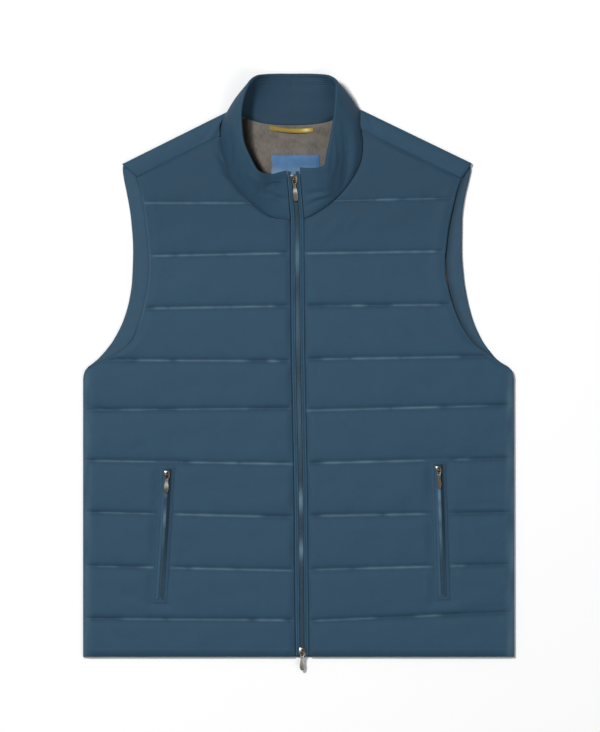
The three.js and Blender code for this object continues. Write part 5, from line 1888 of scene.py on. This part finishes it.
def neck_label():
    """The label, bare, lying a little puffed on the lining, and its border of stitches."""
    left, right, low, high = (LABEL[side] for side in ("left", "right", "low", "high"))
    x, y = np.linspace(left, right, 60), np.linspace(low, high, 36)[:, None]
    edge = np.minimum(np.minimum(x - left, right - x), np.minimum(y - low, high - y))
    puff = 0.5 * (1 + waves(x, y, 26, 101)) * ease_step(0, 6, edge)
    wall = wall_over(x, y, LABEL_BOTTOM + 0.8 * edge_roll(edge, 0.8) + puff, LABEL_BOTTOM)
    # Painted highlight towards the label's lower edge
    light = 0.45 * (1 - ease_step(4, 20, y - low)) * (1 + 0.5 * waves(x, y * 2, 20, 102))
    label = add_cloth("neck_label_cloth", wall, "label_satin", "neck_label", gleam=light)
    corners = [(left, low), (right, low), (right, high), (left, high), (left, low)]
    inset = 1.2 * np.array([(1, 1), (-1, 1), (-1, -1), (1, -1), (1, 1)])
    path = points_at(*(corners + inset).T, LABEL_BOTTOM + 0.95)
    add_stitches("label_stitches", [path], material="label_thread", pitch=2.4, size=(0.4, 0.35))


class VEST_OT_neck_trims(bpy.types.Operator):
    """Build the hanger loop and the bare label inside the neck"""

    bl_idname = "vest.neck_trims"
    bl_label = "Hanger Loop and Label"

    def execute(self, context):
        hanger_loop()
        neck_label()
        return {"FINISHED"}


# The picture field of the photograph at the vest, in millimetres, and its centre
FIELD_HEIGHT = 951.6
FIELD_CENTRE = (1.6, 7.8)
CAMERA_DISTANCE = 8000
SENSOR = 36


class VEST_OT_stage(bpy.types.Operator):
    """Build the floor, the soft lights and the camera of the photograph"""

    bl_idname = "vest.stage"
    bl_label = "Floor, Lights and Camera"

    def execute(self, context):
        deselect_all()
        bpy.ops.mesh.primitive_plane_add(size=20, location=(0, 0, 0))
        floor = context.object
        floor.name = "floor"
        graph = new_material("pale_floor", (0.91, 0.91, 0.91), 0.8)
        cloud = graph.noise(graph.place(), 3, 2)
        graph.finish(base_color=graph.blend(cloud, (0.9, 0.9, 0.9), (0.92, 0.92, 0.92)))
        floor.data.materials.append(graph.material)
        self.add_light("key_light", (-1.3, 1.2, 3.8), 0.55, 145)
        self.add_light("fill_light", (1.6, -1.6, 3.4), 2.4, 34)
        world = context.scene.world or bpy.data.worlds.new("studio")
        context.scene.world = world
        world.use_nodes = True
        sky = world.node_tree.nodes.get("Background") or world.node_tree.nodes.new("ShaderNodeBackground")
        sky.inputs["Color"].default_value = (1, 1, 1, 1)
        sky.inputs["Strength"].default_value = 0.24
        context.scene.view_settings.view_transform = "Standard"
        camera = bpy.data.cameras.new("photo_camera")
        camera.sensor_width = SENSOR
        camera.lens = SENSOR * CAMERA_DISTANCE / FIELD_HEIGHT
        camera.clip_end = 100
        holder = bpy.data.objects.new("photo_camera", camera)
        holder.location = (FIELD_CENTRE[0] * MM, FIELD_CENTRE[1] * MM, (CAMERA_DISTANCE + 8) * MM)
        context.scene.collection.objects.link(holder)
        context.scene.camera = holder
        return {"FINISHED"}

    def add_light(self, name, place, size, power):
        """A square soft light that faces the vest."""
        light = bpy.data.lights.new(name, "AREA")
        light.size = size
        light.energy = power
        holder = bpy.data.objects.new(name, light)
        holder.location = place
        holder.rotation_mode = "QUATERNION"
        holder.rotation_quaternion = (-Vector(place)).to_track_quat("-Z", "Y")
        bpy.context.scene.collection.objects.link(holder)


class VEST_PT_panel(bpy.types.Panel):
    """Lists the vest's settings and pieces in the sidebar"""

    bl_idname = "VEST_PT_panel"
    bl_label = "Quilted Vest"
    bl_space_type = "VIEW_3D"
    bl_region_type = "UI"
    bl_category = "Vest"

    def draw(self, context):
        for group in (context.scene.vest_sizes, context.scene.vest_colours):
            box = self.layout.box()
            for name in group.bl_rna.properties.keys():
                if name not in ("rna_type", "name"):
                    box.prop(group, name)
        for operator in OPERATORS:
            self.layout.operator(operator.bl_idname)


OPERATORS = (
    VEST_OT_stage,
    VEST_OT_back,
    VEST_OT_lining,
    VEST_OT_fronts,
    VEST_OT_collar,
    VEST_OT_front_zip,
    VEST_OT_pockets,
    VEST_OT_sliders,
    VEST_OT_neck_trims,
)
CLASSES = (VestSizes, VestColours, *OPERATORS, VEST_PT_panel)


def register():
    """Makes the settings, operators and panel known to Blender."""
    for cls in CLASSES:
        bpy.utils.register_class(cls)
    bpy.types.Scene.vest_sizes = bpy.props.PointerProperty(type=VestSizes)
    bpy.types.Scene.vest_colours = bpy.props.PointerProperty(type=VestColours)


def unregister():
    """Takes them away again."""
    del bpy.types.Scene.vest_colours
    del bpy.types.Scene.vest_sizes
    for cls in reversed(CLASSES):
        bpy.utils.unregister_class(cls)


def main():
    """Builds the stage and every piece."""
    register()
    bpy.ops.vest.stage()
    bpy.ops.vest.back()
    bpy.ops.vest.lining()
    bpy.ops.vest.fronts()
    bpy.ops.vest.collar()
    bpy.ops.vest.front_zip()
    bpy.ops.vest.pockets()
    bpy.ops.vest.sliders()
    bpy.ops.vest.neck_trims()


if __name__ == "__main__":
    main()
